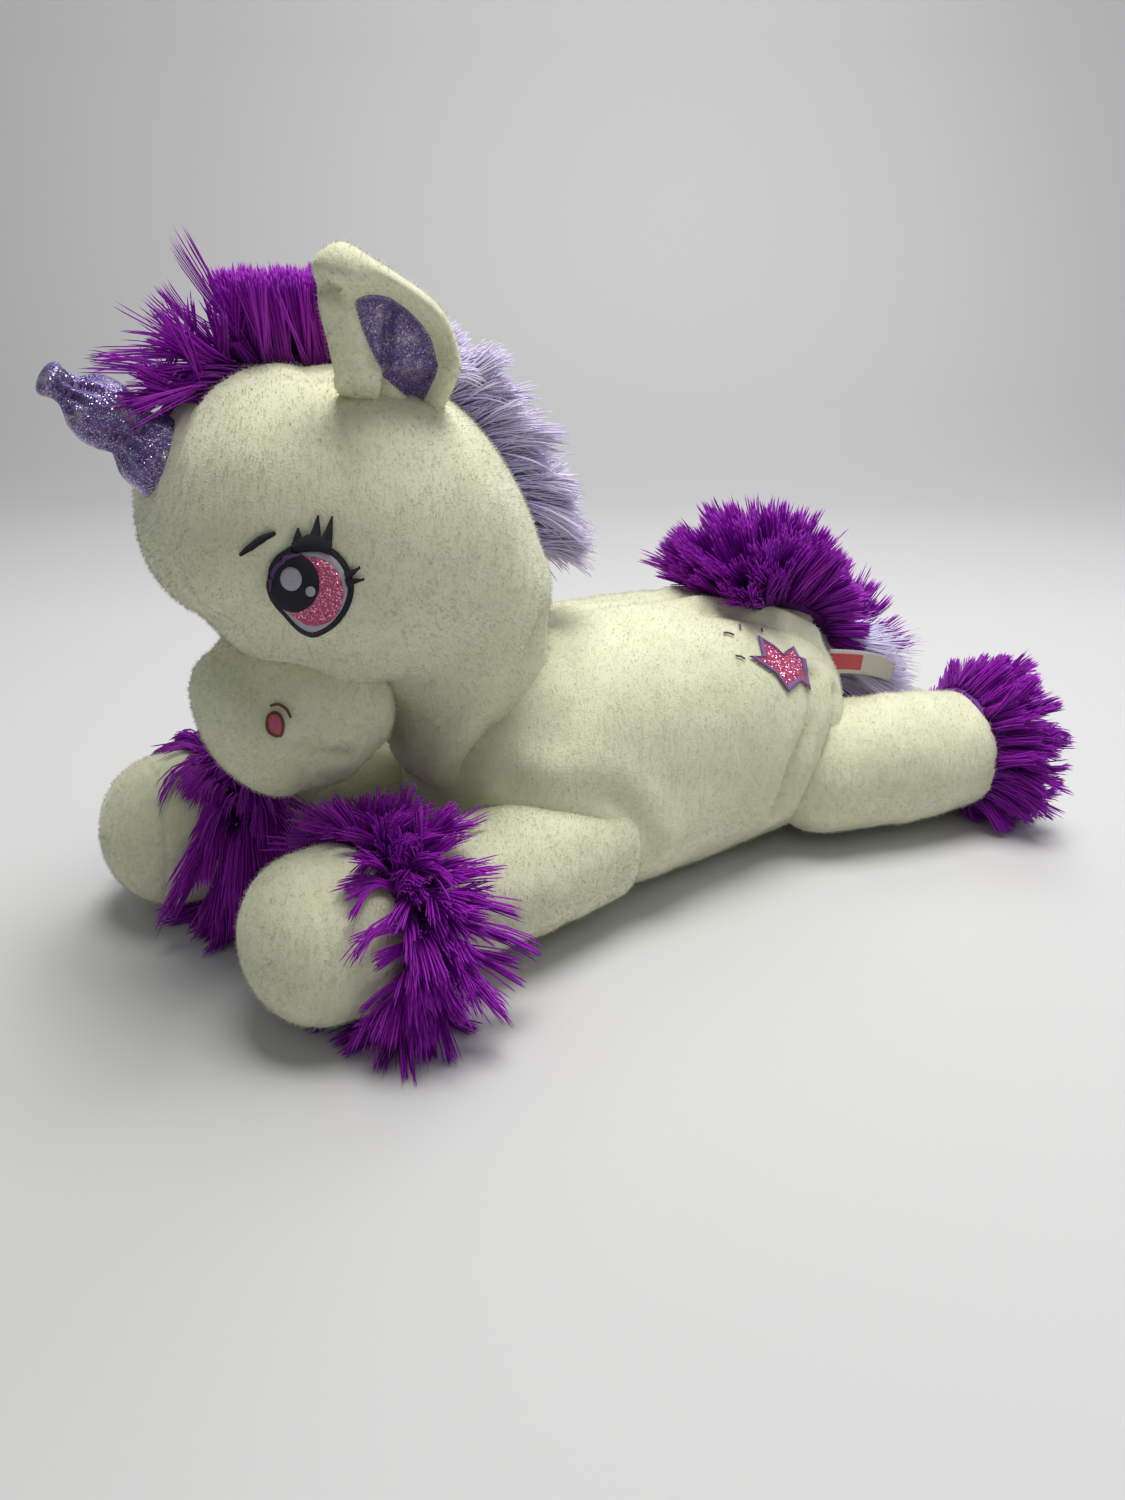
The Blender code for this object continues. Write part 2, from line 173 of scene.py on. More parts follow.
# closed stuffed form drawn through stations of (centre, half width, half height)
def loft(name, stations, start, end, around=96, along=90, capRows=14, squareness=2.15):
    centres = np.array([s[0] for s in stations], float)
    values = np.hstack([centres, np.array([[s[1], s[2]] for s in stations], float)])
    places = runAlong(centres)
    length = places[-1]
    turns = np.linspace(0, math.pi / 2, capRows + 1)[1:]
    first = unit(np.gradient(centres, places, axis=0)[0])
    last = unit(np.gradient(centres, places, axis=0)[-1])

    middle = np.linspace(0, length, along)
    rows = throughStations(values, places, middle)
    head = np.repeat(rows[:1], capRows - 1, axis=0)
    tail = np.repeat(rows[-1:], capRows - 1, axis=0)
    head[:, :3] -= first * (start * np.cos(turns[:-1]))[:, None]
    head[:, 3:] *= np.sin(turns[:-1])[:, None]
    tail[:, :3] += last * (end * np.cos(turns[-2::-1]))[:, None]
    tail[:, 3:] *= np.sin(turns[-2::-1])[:, None]
    ahead = unit(np.gradient(rows[:, :3], axis=0))
    ends = [np.repeat(way[None], capRows - 1, 0) for way in (first, last)]
    ahead = np.vstack([ends[0], ahead, ends[1]])
    rows = np.vstack([head, rows, tail])

    across = unit(np.array([1.0, 0, 0]) - ahead * ahead[:, :1])
    up = np.cross(ahead, across)
    spin = np.linspace(0, 2 * math.pi, around, endpoint=False)
    power = 2.0 / squareness
    cosine = np.sign(np.cos(spin)) * np.abs(np.cos(spin)) ** power
    sine = np.sign(np.sin(spin)) * np.abs(np.sin(spin)) ** power
    rings = (rows[:, None, :3] + across[:, None] * (rows[:, 3:4] * cosine)[..., None]
             + up[:, None] * (rows[:, 4:5] * sine)[..., None])
    poles = np.array([centres[0] - first * start, centres[-1] + last * end])
    count = len(rows)
    co = np.vstack([rings.reshape(-1, 3), poles])
    faces = gridFaces(count, around)
    tip, toe = count * around, count * around + 1
    ring = range(around)
    faces += [(tip, (k + 1) % around, k) for k in ring]
    base = (count - 1) * around
    faces += [(toe, base + k, base + (k + 1) % around) for k in ring]
    mesh = bpy.data.meshes.new(name)
    mesh.from_pydata(co.tolist(), [], faces)
    faceOutward(mesh)
    return mesh


# settles a form on the surface below it, with a rounded edge to the flat
def pressFlat(mesh, floor=0.0, soft=0.0035):
    co = coords(mesh)
    lift = co[:, 2] - floor
    co[:, 2] = floor + 0.5 * (lift + np.sqrt(lift * lift + soft * soft))
    setCoords(mesh, co)


# distance of each point from a line of points
def distanceTo(co, line):
    best = np.full(len(co), 1e9)
    for a, b in zip(line[:-1], line[1:]):
        d = b - a
        t = np.clip(((co - a) @ d) / max(d @ d, 1e-12), 0, 1)
        best = np.minimum(best, np.linalg.norm(co - a - t[:, None] * d, axis=1))
    return best


# how near each point is to a line or a spot: 1 on it, falling away over a width
def nearness(distance, width):
    return np.exp(-((distance / width) ** 2))


# how far a seam draws cloth in, and how it puffs out beside itself
def seamOffset(distance, width, depth, puff):
    return -depth * nearness(distance, width) + puff * nearness(distance - 2.6 * width, 1.6 * width)


# a smooth line through points
def smoothLine(*points, count=60):
    points = np.array(points, float)
    places = runAlong(points)
    return throughStations(points, places, np.linspace(0, places[-1], count))


# a smooth line on one side of the toy: 1 is its left, -1 its right
def sideLine(points, side, origin=(0, 0, 0)):
    return smoothLine(*[np.array(origin) + (side * x, y, z) for x, y, z in points])


def sculpt(mesh, offset):
    setCoords(mesh, coords(mesh) + normals(mesh) * np.asarray(offset)[:, None])


# random roots on a surface, with their normals, spread evenly by area
def scatter(mesh, count):
    mesh.calc_loop_triangles()
    tri = np.empty(len(mesh.loop_triangles) * 3, np.int32)
    mesh.loop_triangles.foreach_get("vertices", tri)
    tri = tri.reshape(-1, 3)
    co, no = coords(mesh), normals(mesh)
    corners = co[tri]
    first, second = corners[:, 1] - corners[:, 0], corners[:, 2] - corners[:, 0]
    area = np.linalg.norm(np.cross(first, second), axis=1)
    pick = rng.choice(len(tri), count, p=area / area.sum())
    a, b = rng.random(count), rng.random(count)
    flip = a + b > 1
    a[flip], b[flip] = 1 - a[flip], 1 - b[flip]
    share = np.stack([1 - a - b, a, b], 1)
    roots = (co[tri[pick]] * share[..., None]).sum(1)
    return roots, unit((no[tri[pick]] * share[..., None]).sum(1))


# closed three-sided strands along paths, each ending in a point, with a tone for each
def tubesAlong(name, paths, radii, tone, mat):
    count, steps, _ = paths.shape
    ahead = unit(np.gradient(paths, axis=1))
    side = unit(np.cross(ahead, np.array([0.31, 0.17, 0.93])))
    other = np.cross(ahead, side)
    spin = np.arange(3) * 2 * math.pi / 3
    ring = (side[:, :-1, None] * np.cos(spin)[:, None] + other[:, :-1, None] * np.sin(spin)[:, None])
    rings = paths[:, :-1, None] + ring * radii[:, :-1, None, None]
    perStrand = (steps - 1) * 3 + 1
    co = np.concatenate([rings.reshape(count, -1, 3), paths[:, -1:]], axis=1).reshape(-1, 3)
    tris = [(0, 2, 1)]
    for k in range(steps - 2):
        for j in range(3):
            a, b = k * 3 + j, k * 3 + (j + 1) % 3
            tris += [(a, b, b + 3), (a, b + 3, a + 3)]
    last = (steps - 2) * 3
    tris += [(last + j, last + (j + 1) % 3, perStrand - 1) for j in range(3)]
    tris = (np.array(tris)[None] + (np.arange(count) * perStrand)[:, None, None]).reshape(-1, 3)
    mesh = triangleMesh(name, co, tris)
    mesh.shade_smooth()
    along = np.concatenate([np.repeat(np.arange(steps - 1), 3), [steps - 1]]) / (steps - 1)
    for label, value in (("tone", np.repeat(tone, perStrand)), ("along", np.tile(along, count))):
        layer = mesh.attributes.new(label, "FLOAT", "POINT")
        layer.data.foreach_set("value", value.astype(np.float32))
    return newObject(name, mesh, mat)


# materials

# an empty shader node group with named sockets: name, type, default
def groupNode(name, inputs, outputs):
    tree = bpy.data.node_groups.new(name, "ShaderNodeTree")
    for direction, sockets in (("INPUT", inputs), ("OUTPUT", outputs)):
        for label, kind, *default in sockets:
            socket = tree.interface.new_socket(label, in_out=direction, socket_type="NodeSocket" + kind)
            if default:
                socket.default_value = default[0]
    return tree, tree.nodes.new("NodeGroupInput"), tree.nodes.new("NodeGroupOutput")


def wire(tree, source, target):
    tree.links.new(source, target)


def mathNode(tree, operation, a, b=None):
    node = tree.nodes.new("ShaderNodeMath")
    node.operation = operation
    for socket, value in zip(node.inputs, (a, b)):
        if isinstance(value, (int, float)):
            socket.default_value = value
        elif value is not None:
            wire(tree, value, socket)
    return node.outputs[0]


def noiseNode(tree, place, scale, detail=2.0, rough=0.5):
    node = tree.nodes.new("ShaderNodeTexNoise")
    node.inputs["Detail"].default_value = detail
    node.inputs["Roughness"].default_value = rough
    if isinstance(scale, (int, float)):
        node.inputs["Scale"].default_value = scale
    else:
        wire(tree, scale, node.inputs["Scale"])
    wire(tree, place, node.inputs["Vector"])
    return node.outputs["Fac"]


def mixColour(tree, factor, a, b, blend="MIX"):
    node = tree.nodes.new("ShaderNodeMix")
    node.data_type = "RGBA"
    node.blend_type = blend
    for socket, value in ((node.inputs[0], factor), (node.inputs[6], a), (node.inputs[7], b)):
        if isinstance(value, (int, float, tuple)):
            socket.default_value = value
        else:
            wire(tree, value, socket)
    return node.outputs[2]


# colour along a run of stops, each a place from 0 to 1 with its colour
def rampNode(tree, stops, factor):
    node = tree.nodes.new("ShaderNodeValToRGB")
    elements = node.color_ramp.elements
    while len(elements) < len(stops):
        elements.new(0.5)
    for element, (spot, colour) in zip(elements, stops):
        element.position = spot
        element.color = (*colour, 1)
    wire(tree, factor, node.inputs[0])
    return node.outputs[0]


# brushed short pile: patches of nap, fine fibre and a mottled tint
def makePileGrain():
    tree, given, out = groupNode(
        "pileGrain",
        [("Colour", "Color", (0.8, 0.8, 0.6, 1)), ("Shade", "Color", (0.6, 0.6, 0.4, 1)),
         ("Nap Size", "Float", 60.0), ("Fibre Size", "Float", 900.0)],
        [("Colour", "Color"), ("Height", "Float"), ("Roughness", "Float")])
    place = tree.nodes.new("ShaderNodeTexCoord").outputs["Object"]
    nap = noiseNode(tree, place, given.outputs["Nap Size"], 3.0, 0.6)
    fibre = noiseNode(tree, place, given.outputs["Fibre Size"], 2.0, 0.6)
    mottle = mathNode(tree, "MULTIPLY", nap, 0.8)
    mottle = mathNode(tree, "ADD", mottle, mathNode(tree, "MULTIPLY", fibre, 0.55))
    mottle = mathNode(tree, "SUBTRACT", mottle, 0.32)
    mottle = mathNode(tree, "MULTIPLY", mottle, 1.1)
    wire(tree, mixColour(tree, mottle, given.outputs["Shade"], given.outputs["Colour"]), out.inputs["Colour"])
    height = mathNode(tree, "ADD", mathNode(tree, "MULTIPLY", nap, 0.6),
                      mathNode(tree, "MULTIPLY", fibre, 0.4))
    wire(tree, height, out.inputs["Height"])
    dull = mathNode(tree, "ADD", mathNode(tree, "MULTIPLY", fibre, 0.15), 0.8)
    wire(tree, dull, out.inputs["Roughness"])
    return tree


# satin stitch: tight rows of thread with a twist, the crest of each row painted lighter as a painted sheen
def makeStitchRows():
    tree, given, out = groupNode(
        "stitchRows",
        [("Colour", "Color", (0, 0, 0, 1)), ("Sheen Colour", "Color", (0.2, 0.2, 0.2, 1)),
         ("Rows", "Float", 300.0), ("Slant", "Float", 0.6)],
        [("Colour", "Color"), ("Height", "Float")])
    place = tree.nodes.new("ShaderNodeTexCoord").outputs["Object"]
    parts = tree.nodes.new("ShaderNodeSeparateXYZ")
    wire(tree, place, parts.inputs[0])
    wobble = noiseNode(tree, place, 260.0, 2.0)
    slanted = mathNode(tree, "ADD", mathNode(tree, "MULTIPLY", parts.outputs["Y"], given.outputs["Slant"]),
                       parts.outputs["Z"])
    phase = mathNode(tree, "ADD", mathNode(tree, "MULTIPLY", slanted, given.outputs["Rows"]),
                     mathNode(tree, "MULTIPLY", wobble, 0.9))
    ridge = mathNode(tree, "ABSOLUTE", mathNode(tree, "SUBTRACT", mathNode(tree, "FRACT", phase), 0.5))
    ridge = mathNode(tree, "SUBTRACT", 1.0, mathNode(tree, "MULTIPLY", ridge, 2.0))
    # colour runs from the thread's own colour in the hollows to a painted sheen on each row's crest
    wire(tree, mixColour(tree, ridge, given.outputs["Colour"], given.outputs["Sheen Colour"]),
         out.inputs["Colour"])
    wire(tree, ridge, out.inputs["Height"])
    return tree


# fine flakes that each catch the light their own way
def makeGlitterFlakes():
    tree, given, out = groupNode(
        "glitterFlakes",
        [("Colour", "Color", (0.8, 0.1, 0.3, 1)), ("Flake Colour", "Color", (1, 0.6, 0.8, 1)),
         ("Flakes", "Float", 2200.0), ("Share", "Float", 0.25), ("Order", "Float", 1.0)],
        [("Colour", "Color"), ("Normal", "Vector"), ("Metallic", "Float")])
    place = tree.nodes.new("ShaderNodeTexCoord").outputs["Object"]
    cells = tree.nodes.new("ShaderNodeTexVoronoi")
    wire(tree, place, cells.inputs["Vector"])
    wire(tree, given.outputs["Flakes"], cells.inputs["Scale"])
    wire(tree, given.outputs["Order"], cells.inputs["Randomness"])
    split = tree.nodes.new("ShaderNodeSeparateColor")
    wire(tree, cells.outputs["Color"], split.inputs[0])
    lit = mathNode(tree, "LESS_THAN", split.outputs[0], given.outputs["Share"])
    wire(tree, mixColour(tree, lit, given.outputs["Colour"], given.outputs["Flake Colour"]),
         out.inputs["Colour"])
    lean = tree.nodes.new("ShaderNodeVectorMath")
    lean.operation = "MULTIPLY_ADD"
    wire(tree, cells.outputs["Color"], lean.inputs[0])
    lean.inputs[1].default_value = (1.1, 1.1, 1.1)
    lean.inputs[2].default_value = (-0.55, -0.55, -0.55)
    shape = tree.nodes.new("ShaderNodeNewGeometry")
    total = tree.nodes.new("ShaderNodeVectorMath")
    wire(tree, shape.outputs["Normal"], total.inputs[0])
    wire(tree, lean.outputs[0], total.inputs[1])
    level = tree.nodes.new("ShaderNodeVectorMath")
    level.operation = "NORMALIZE"
    wire(tree, total.outputs[0], level.inputs[0])
    wire(tree, level.outputs[0], out.inputs["Normal"])
    wire(tree, lit, out.inputs["Metallic"])
    return tree


groups = {"pile": makePileGrain(), "stitch": makeStitchRows(), "glitter": makeGlitterFlakes()}


def newMaterial(name, roughness=0.8, sheen=0.0, sheenTint=(1, 1, 1), coat=0.0):
    mat = bpy.data.materials.new(name)
    mat.use_nodes = True
    tree = mat.node_tree
    shader = tree.nodes["Principled BSDF"]
    shader.inputs["Roughness"].default_value = roughness
    shader.inputs["Sheen Weight"].default_value = sheen
    shader.inputs["Sheen Roughness"].default_value = 0.45
    shader.inputs["Sheen Tint"].default_value = (*sheenTint, 1)
    shader.inputs["Coat Weight"].default_value = coat
    return mat, tree, shader


def placeGroup(tree, which, values):
    node = tree.nodes.new("ShaderNodeGroup")
    node.node_tree = groups[which]
    for label, value in values.items():
        node.inputs[label].default_value = value
    return node


def addBump(tree, shader, height, strength, distance):
    bump = tree.nodes.new("ShaderNodeBump")
    bump.inputs["Strength"].default_value = strength
    bump.inputs["Distance"].default_value = distance
    wire(tree, height, bump.inputs["Height"])
    wire(tree, bump.outputs["Normal"], shader.inputs["Normal"])


plushLook = {
    "colour": (0.87, 0.885, 0.66, 1),
    "shade": (0.70, 0.72, 0.48, 1),
    "sheen": 0.6,
    "sheenTint": (1.0, 1.0, 0.86),
    "napSize": 70.0,
    "fibreSize": 1100.0,
    "bump": 0.55,
}


def tinted(colour, shift):
    return (colour[0] * shift, colour[1] * shift, colour[2] * shift, 1)


def plushMaterial(name, shift=1.0):
    s = plushLook
    mat, tree, shader = newMaterial(name, 0.9, s["sheen"], s["sheenTint"])
    node = placeGroup(tree, "pile", {"Colour": tinted(s["colour"], shift), "Shade": tinted(s["shade"], shift),
                                     "Nap Size": s["napSize"], "Fibre Size": s["fibreSize"]})
    wire(tree, node.outputs["Colour"], shader.inputs["Base Color"])
    wire(tree, node.outputs["Roughness"], shader.inputs["Roughness"])
    addBump(tree, shader, node.outputs["Height"], s["bump"], 0.0012)
    return mat


# strands: painted shade darkens each one toward its root, and each is a little different
def furMaterial(name, rootShade, mid, bright, sheen=0.03):
    mat, tree, shader = newMaterial(name, 0.6, sheen, (0.9, 0.75, 1.0))
    shader.inputs["Specular IOR Level"].default_value = 0.3
    tone = tree.nodes.new("ShaderNodeAttribute")
    tone.attribute_name = "tone"
    along = tree.nodes.new("ShaderNodeAttribute")
    along.attribute_name = "along"
    place = tree.nodes.new("ShaderNodeTexCoord").outputs["Object"]
    streak = noiseNode(tree, place, 420.0, 2.0)
    level = mathNode(tree, "ADD", mathNode(tree, "MULTIPLY", tone.outputs["Fac"], 0.7),
                     mathNode(tree, "MULTIPLY", streak, 0.3))
    body = mixColour(tree, level, (*mid, 1), (*bright, 1))
    # painted shade: each strand darkens toward the root shade colour over the first part of its length, where
    # strands crowd; pieces without strands, such as the backings, take that colour whole
    rise = mathNode(tree, "MULTIPLY", along.outputs["Fac"], 2.4)
    rise = mathNode(tree, "MINIMUM", rise, 1.0)
    wire(tree, mixColour(tree, rise, (*rootShade, 1), body), shader.inputs["Base Color"])
    wire(tree, mathNode(tree, "ADD", mathNode(tree, "MULTIPLY", streak, 0.2), 0.42),
         shader.inputs["Roughness"])
    return mat


# embroidery thread: its own colour, with a lighter painted sheen along the crest of each stitch row
def threadMaterial(name, colour, ridgeSheen, rows=2600.0, slant=0.5):
    mat, tree, shader = newMaterial(name, 0.6, 0.03)
    shader.inputs["Specular IOR Level"].default_value = 0.25
    node = placeGroup(tree, "stitch", {"Colour": (*colour, 1), "Sheen Colour": (*ridgeSheen, 1),
                                       "Rows": rows, "Slant": slant})
    wire(tree, node.outputs["Colour"], shader.inputs["Base Color"])
    addBump(tree, shader, node.outputs["Height"], 0.8, 0.0003)
    return mat


def glitterMaterial(name, colour, flake, flakes=2400.0, share=0.3):
    mat, tree, shader = newMaterial(name, 0.32)
    node = placeGroup(tree, "glitter", {"Colour": (*colour, 1), "Flake Colour": (*flake, 1),
                                        "Flakes": flakes, "Share": share})
    wire(tree, node.outputs["Colour"], shader.inputs["Base Color"])
    wire(tree, node.outputs["Metallic"], shader.inputs["Metallic"])
    wire(tree, node.outputs["Normal"], shader.inputs["Normal"])
    return mat


lameLook = {
    "ground": (0.12, 0.06, 0.24, 1),
    "flake": (0.9, 0.9, 1.0, 1),
    "shifts": [(0.32, (0.07, 0.02, 0.15)), (0.44, (0.22, 0.12, 0.38)), (0.51, (0.13, 0.15, 0.42)),
               (0.58, (0.38, 0.26, 0.44)), (0.70, (0.62, 0.58, 0.70))],
    "shiftSize": 150.0,
    "rows": 520.0,
}


# knitted foil cloth: lavender ground, rows of bright flakes in shifting colours
def lameMaterial(name):
    mat, tree, shader = newMaterial(name, 0.34, coat=0.25)
    place = tree.nodes.new("ShaderNodeTexCoord").outputs["Object"]
    node = placeGroup(tree, "glitter", {"Colour": lameLook["ground"], "Flake Colour": lameLook["flake"],
                                        "Flakes": 2600.0, "Share": 0.22, "Order": 0.35})
    shift = rampNode(tree, lameLook["shifts"], noiseNode(tree, place, lameLook["shiftSize"], 3.0, 0.6))
    wire(tree, mixColour(tree, 0.55, node.outputs["Colour"], shift), shader.inputs["Base Color"])
    weave = tree.nodes.new("ShaderNodeTexWave")
    weave.inputs["Scale"].default_value = lameLook["rows"]
    weave.inputs["Distortion"].default_value = 1.5
    wire(tree, place, weave.inputs["Vector"])
    bump = tree.nodes.new("ShaderNodeBump")
    bump.inputs["Strength"].default_value = 0.35
    bump.inputs["Distance"].default_value = 0.0004
    wire(tree, weave.outputs["Fac"], bump.inputs["Height"])
    wire(tree, node.outputs["Normal"], bump.inputs["Normal"])
    wire(tree, bump.outputs["Normal"], shader.inputs["Normal"])
    shine = mathNode(tree, "ADD", mathNode(tree, "MULTIPLY", node.outputs["Metallic"], 0.35), 0.6)
    wire(tree, shine, shader.inputs["Metallic"])
    return mat


def satinMaterial(name, colour):
    mat, tree, shader = newMaterial(name, 0.42, 0.2)
    place = tree.nodes.new("ShaderNodeTexCoord").outputs["Object"]
    grain = noiseNode(tree, place, 900.0, 2.0)
    shade = tuple(c * 0.8 for c in colour)
    wire(tree, mixColour(tree, grain, (*shade, 1), (*colour, 1)), shader.inputs["Base Color"])
    addBump(tree, shader, grain, 0.3, 0.0002)
    return mat


looks = {
    "plush": plushMaterial("creamPlush"),
    # the pile's hairs are painted 8% lighter than the cover under them, a painted highlight for the light
    # fuzz of the nap
    "pile": plushMaterial("creamPile", 1.08),
    "purple": furMaterial("purpleFur", (0.14, 0.002, 0.22), (0.27, 0.003, 0.40), (0.45, 0.016, 0.62)),
    "lavender": furMaterial("lavenderFur", (0.62, 0.55, 0.96), (0.74, 0.68, 1.0), (0.88, 0.84, 1.0), 0.5),
    "purpleBacking": furMaterial("purpleBacking", (0.12, 0.003, 0.22), (0.20, 0.004, 0.34),
                                 (0.28, 0.01, 0.46)),
    "lavenderBacking": furMaterial("lavenderBacking", (0.62, 0.55, 0.96), (0.70, 0.64, 1.0),
                                   (0.80, 0.75, 1.0)),
    "lame": lameMaterial("lavenderLame"),
    "blackThread": threadMaterial("blackThread", (0.006, 0.006, 0.012), (0.03, 0.03, 0.05)),
    "whiteThread": threadMaterial("whiteThread", (0.42, 0.41, 0.46), (0.62, 0.61, 0.66), 2200.0),
    "purpleThread": threadMaterial("purpleThread", (0.09, 0.03, 0.13), (0.22, 0.10, 0.30)),
    "lilacThread": threadMaterial("lilacThread", (0.20, 0.10, 0.32), (0.42, 0.26, 0.55)),
    "brownThread": threadMaterial("brownThread", (0.16, 0.055, 0.02), (0.33, 0.14, 0.06)),
    "pinkThread": threadMaterial("pinkThread", (0.50, 0.06, 0.14), (0.78, 0.20, 0.32), 1900.0),
    "pinkGlitter": glitterMaterial("pinkGlitter", (0.52, 0.055, 0.16), (1.0, 0.42, 0.58)),
    "redSatin": satinMaterial("redSatin", (0.55, 0.03, 0.05)),
    "whiteSatin": satinMaterial("whiteSatin", (0.62, 0.58, 0.55)),
}
print("materials made:", len(looks))


# plush pile on every cream piece

pileSettings = {
    "density": 700000.0,   # hairs per square metre
    "length": 0.0016,
    "radius": 0.00010,
    "sink": 0.0002,        # how deep a hair starts in the cloth
    "lean": 0.50,          # how far the nap lies over
    "wave": 0.35,          # how much the nap turns from place to place
    "waveSize": 0.03,
    "stray": 0.40,         # how much each hair goes its own way
    "light": 0.22,         # how far a hair's own way turns its shading from the cloth's
}


# short hairs over a cover, laid over by the nap
def growPile(name, source, comb):
    s = pileSettings
    mesh = source.data
    mesh.calc_loop_triangles()
    count = int(sum(t.area for t in mesh.loop_triangles) * s["density"])
    roots, up = scatter(mesh, count)
    wave = np.stack([lumps(roots, s["waveSize"], k) for k in (3, 5, 8)], 1)
    lean = unit(np.array(comb, float) + s["wave"] * wave)
    heading = unit(up + s["lean"] * lean + s["stray"] * rng.normal(size=roots.shape))
    size = s["length"] * (0.6 + 0.6 * rng.random(count))[:, None]
    sideways = unit(np.cross(heading, rng.normal(size=roots.shape)))
    other = np.cross(heading, sideways)
    corners = [roots - up * s["sink"] + s["radius"] * (sideways * math.cos(a) + other * math.sin(a))
               for a in (0.0, 2.094, 4.189)]
    co = np.stack([*corners, roots + heading * size], 1).reshape(-1, 3)
    tris = np.array([(0, 2, 1), (0, 1, 3), (1, 2, 3), (2, 0, 3)])
    tris = (tris[None] + (np.arange(count) * 4)[:, None, None]).reshape(-1, 3)
    co[:, 2] = np.maximum(co[:, 2], 0.0002)
    made = newObject(name, triangleMesh(name, co, tris), looks["pile"])
    made.data.shade_smooth()
    # hairs are lit as the cover under them is, so that they read as one nap
    lit = unit(np.repeat(up + s["light"] * heading, 4, axis=0))
    made.data.normals_split_custom_set_from_vertices(lit.tolist())
    return made


# a cream cover with its pile, riding on its body in place of its solids
def finishPlush(name, mesh, body, node, comb):
    made = newObject(name, mesh, looks["plush"])
    pile = growPile(name + "Pile", made, comb)
    nodes = [node + end for end in ("_cover", "_stuffing") if node + end in frame["nodes"]] or [node]
    for piece in (made, pile):
        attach(piece, body)
        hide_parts(*nodes)
    return made


# torso

torsoLow, torsoHigh = (np.array(c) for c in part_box("torso_cover"))
torsoShape = {
    # share of the length, half width, centre height, half height
    "stations": [(0.26, 0.0625, 0.0580, 0.0650), (0.42, 0.0650, 0.0578, 0.0650),
                 (0.60, 0.0645, 0.0565, 0.0630), (0.75, 0.0605, 0.0540, 0.0595)],
    "chest": 0.060,
    "rump": 0.055,
    "backSeam": [(0, -0.03, 0.123), (0, 0.03, 0.121), (0, 0.085, 0.100), (0, 0.115, 0.065)],
    # folds of the left side: a line, then width, depth and puff
    "folds": [
        # two where the hip is drawn in
        ([(0.0500, 0.071, 0.088), (0.0568, 0.0653, 0.070), (0.0604, 0.0540, 0.0515), (0.0600, 0.050, 0.028)],
         0.0036, 0.0036, 0.0014),
        ([(0.0500, 0.0850, 0.078), (0.0560, 0.0800, 0.064), (0.0600, 0.0740, 0.045), (0.058, 0.069, 0.028)],
         0.0030, 0.0034, 0.0012),
        # the pull of the shoulder seam, and of the neck seam above it
        ([(0.0450, -0.0805, 0.0700), (0.0560, -0.0560, 0.0680), (0.0640, -0.0400, 0.0560),
          (0.0680, -0.030, 0.036)], 0.0044, 0.0018, 0.0014),
        ([(0.0360, -0.0480, 0.1200), (0.0470, -0.0540, 0.1040), (0.0500, -0.0640, 0.0860)],
         0.0060, 0.0020, 0.0014),
    ],
    # the roll of cover at the root of the tail, and the groove beside it
    "tailRoll": [(0.010, 0.036, 0.1190), (0.014, 0.060, 0.1150), (0.019, 0.078, 0.1080),
                 (0.024, 0.094, 0.0980)],
    "tailGroove": [(0.019, 0.034, 0.1170), (0.024, 0.058, 0.1130), (0.029, 0.075, 0.1050),
                   (0.034, 0.091, 0.0940)],
    "shoulder": (0.060, -0.024, 0.032),
}


def makeTorso():
    s = torsoShape
    span = torsoHigh[1] - torsoLow[1]
    stations = [((0, torsoLow[1] + span * share, centre), width, height)
                for share, width, centre, height in s["stations"]]
    mesh = loft("torso", stations, s["chest"], s["rump"], 180, 150, 36, 2.25)
    co = coords(mesh)
    offset = seamOffset(distanceTo(co, smoothLine(*s["backSeam"])), 0.0016, 0.0009, 0.0003)
    for side in (1, -1):
        for line, width, depth, puff in s["folds"]:
            offset += seamOffset(distanceTo(co, sideLine(line, side)), width, depth, puff)
        offset += 0.0034 * nearness(distanceTo(co, sideLine(s["tailRoll"], side)), 0.0055)
        offset -= 0.0022 * nearness(distanceTo(co, sideLine(s["tailGroove"], side)), 0.0035)
        x, y, z = s["shoulder"]
        reach = np.linalg.norm((co - (side * x, y, z)) * (1, 0.85, 1), axis=1)
        offset += 0.0085 * nearness(reach, 0.024)
    offset += 0.0014 * lumps(co, 0.045, 2) + 0.0006 * lumps(co, 0.018, 5)
    sculpt(mesh, offset)
    pressFlat(mesh, 0.0006)
    return finishPlush("torsoCover", mesh, "torso", "torso", (0, 0.8, -0.4))


# head and neck

neckPivot = pivots["head_nod"]
headShape = {
    # offset from the neck's pivot, half width, half height
    "stations": [((0, -0.003, 0), 0.0375, 0.0375), ((0, -0.011, 0.026), 0.0420, 0.0375),
                 ((0, -0.023, 0.057), 0.0560, 0.0490), ((0, -0.048, 0.082), 0.0662, 0.0622),
                 ((0, -0.072, 0.0955), 0.0664, 0.0592), ((0, -0.0935, 0.1063), 0.0565, 0.0478)],
    "nape": 0.038,
    "brow": 0.0335,
    "gussetHalf": 0.026,
    # folds of the neck's left side: a line, then width, depth and puff
    "folds": [
        ([(0.0400, 0.006, 0.046), (0.0430, 0.002, 0.028), (0.0400, -0.010, 0.010), (0.034, -0.022, -0.010)],
         0.0070, 0.0022, 0.0012),
        ([(0.0360, -0.014, 0.006), (0.0340, -0.024, -0.010), (0.030, -0.032, -0.026)],
         0.0045, 0.0016, 0.0010),
    ],
    # spots drawn in under the eye and at the cheek: place and depth
    "hollows": [((0.062, -0.092, 0.083), 0.0012), ((0.040, -0.090, 0.046), 0.0055)],
    "hollowWidth": 0.020,
}


# stations given as offsets from the neck's pivot, put in place
def fromNeck(stations):
    return [(neckPivot + np.array(offset), width, height) for offset, width, height in stations]


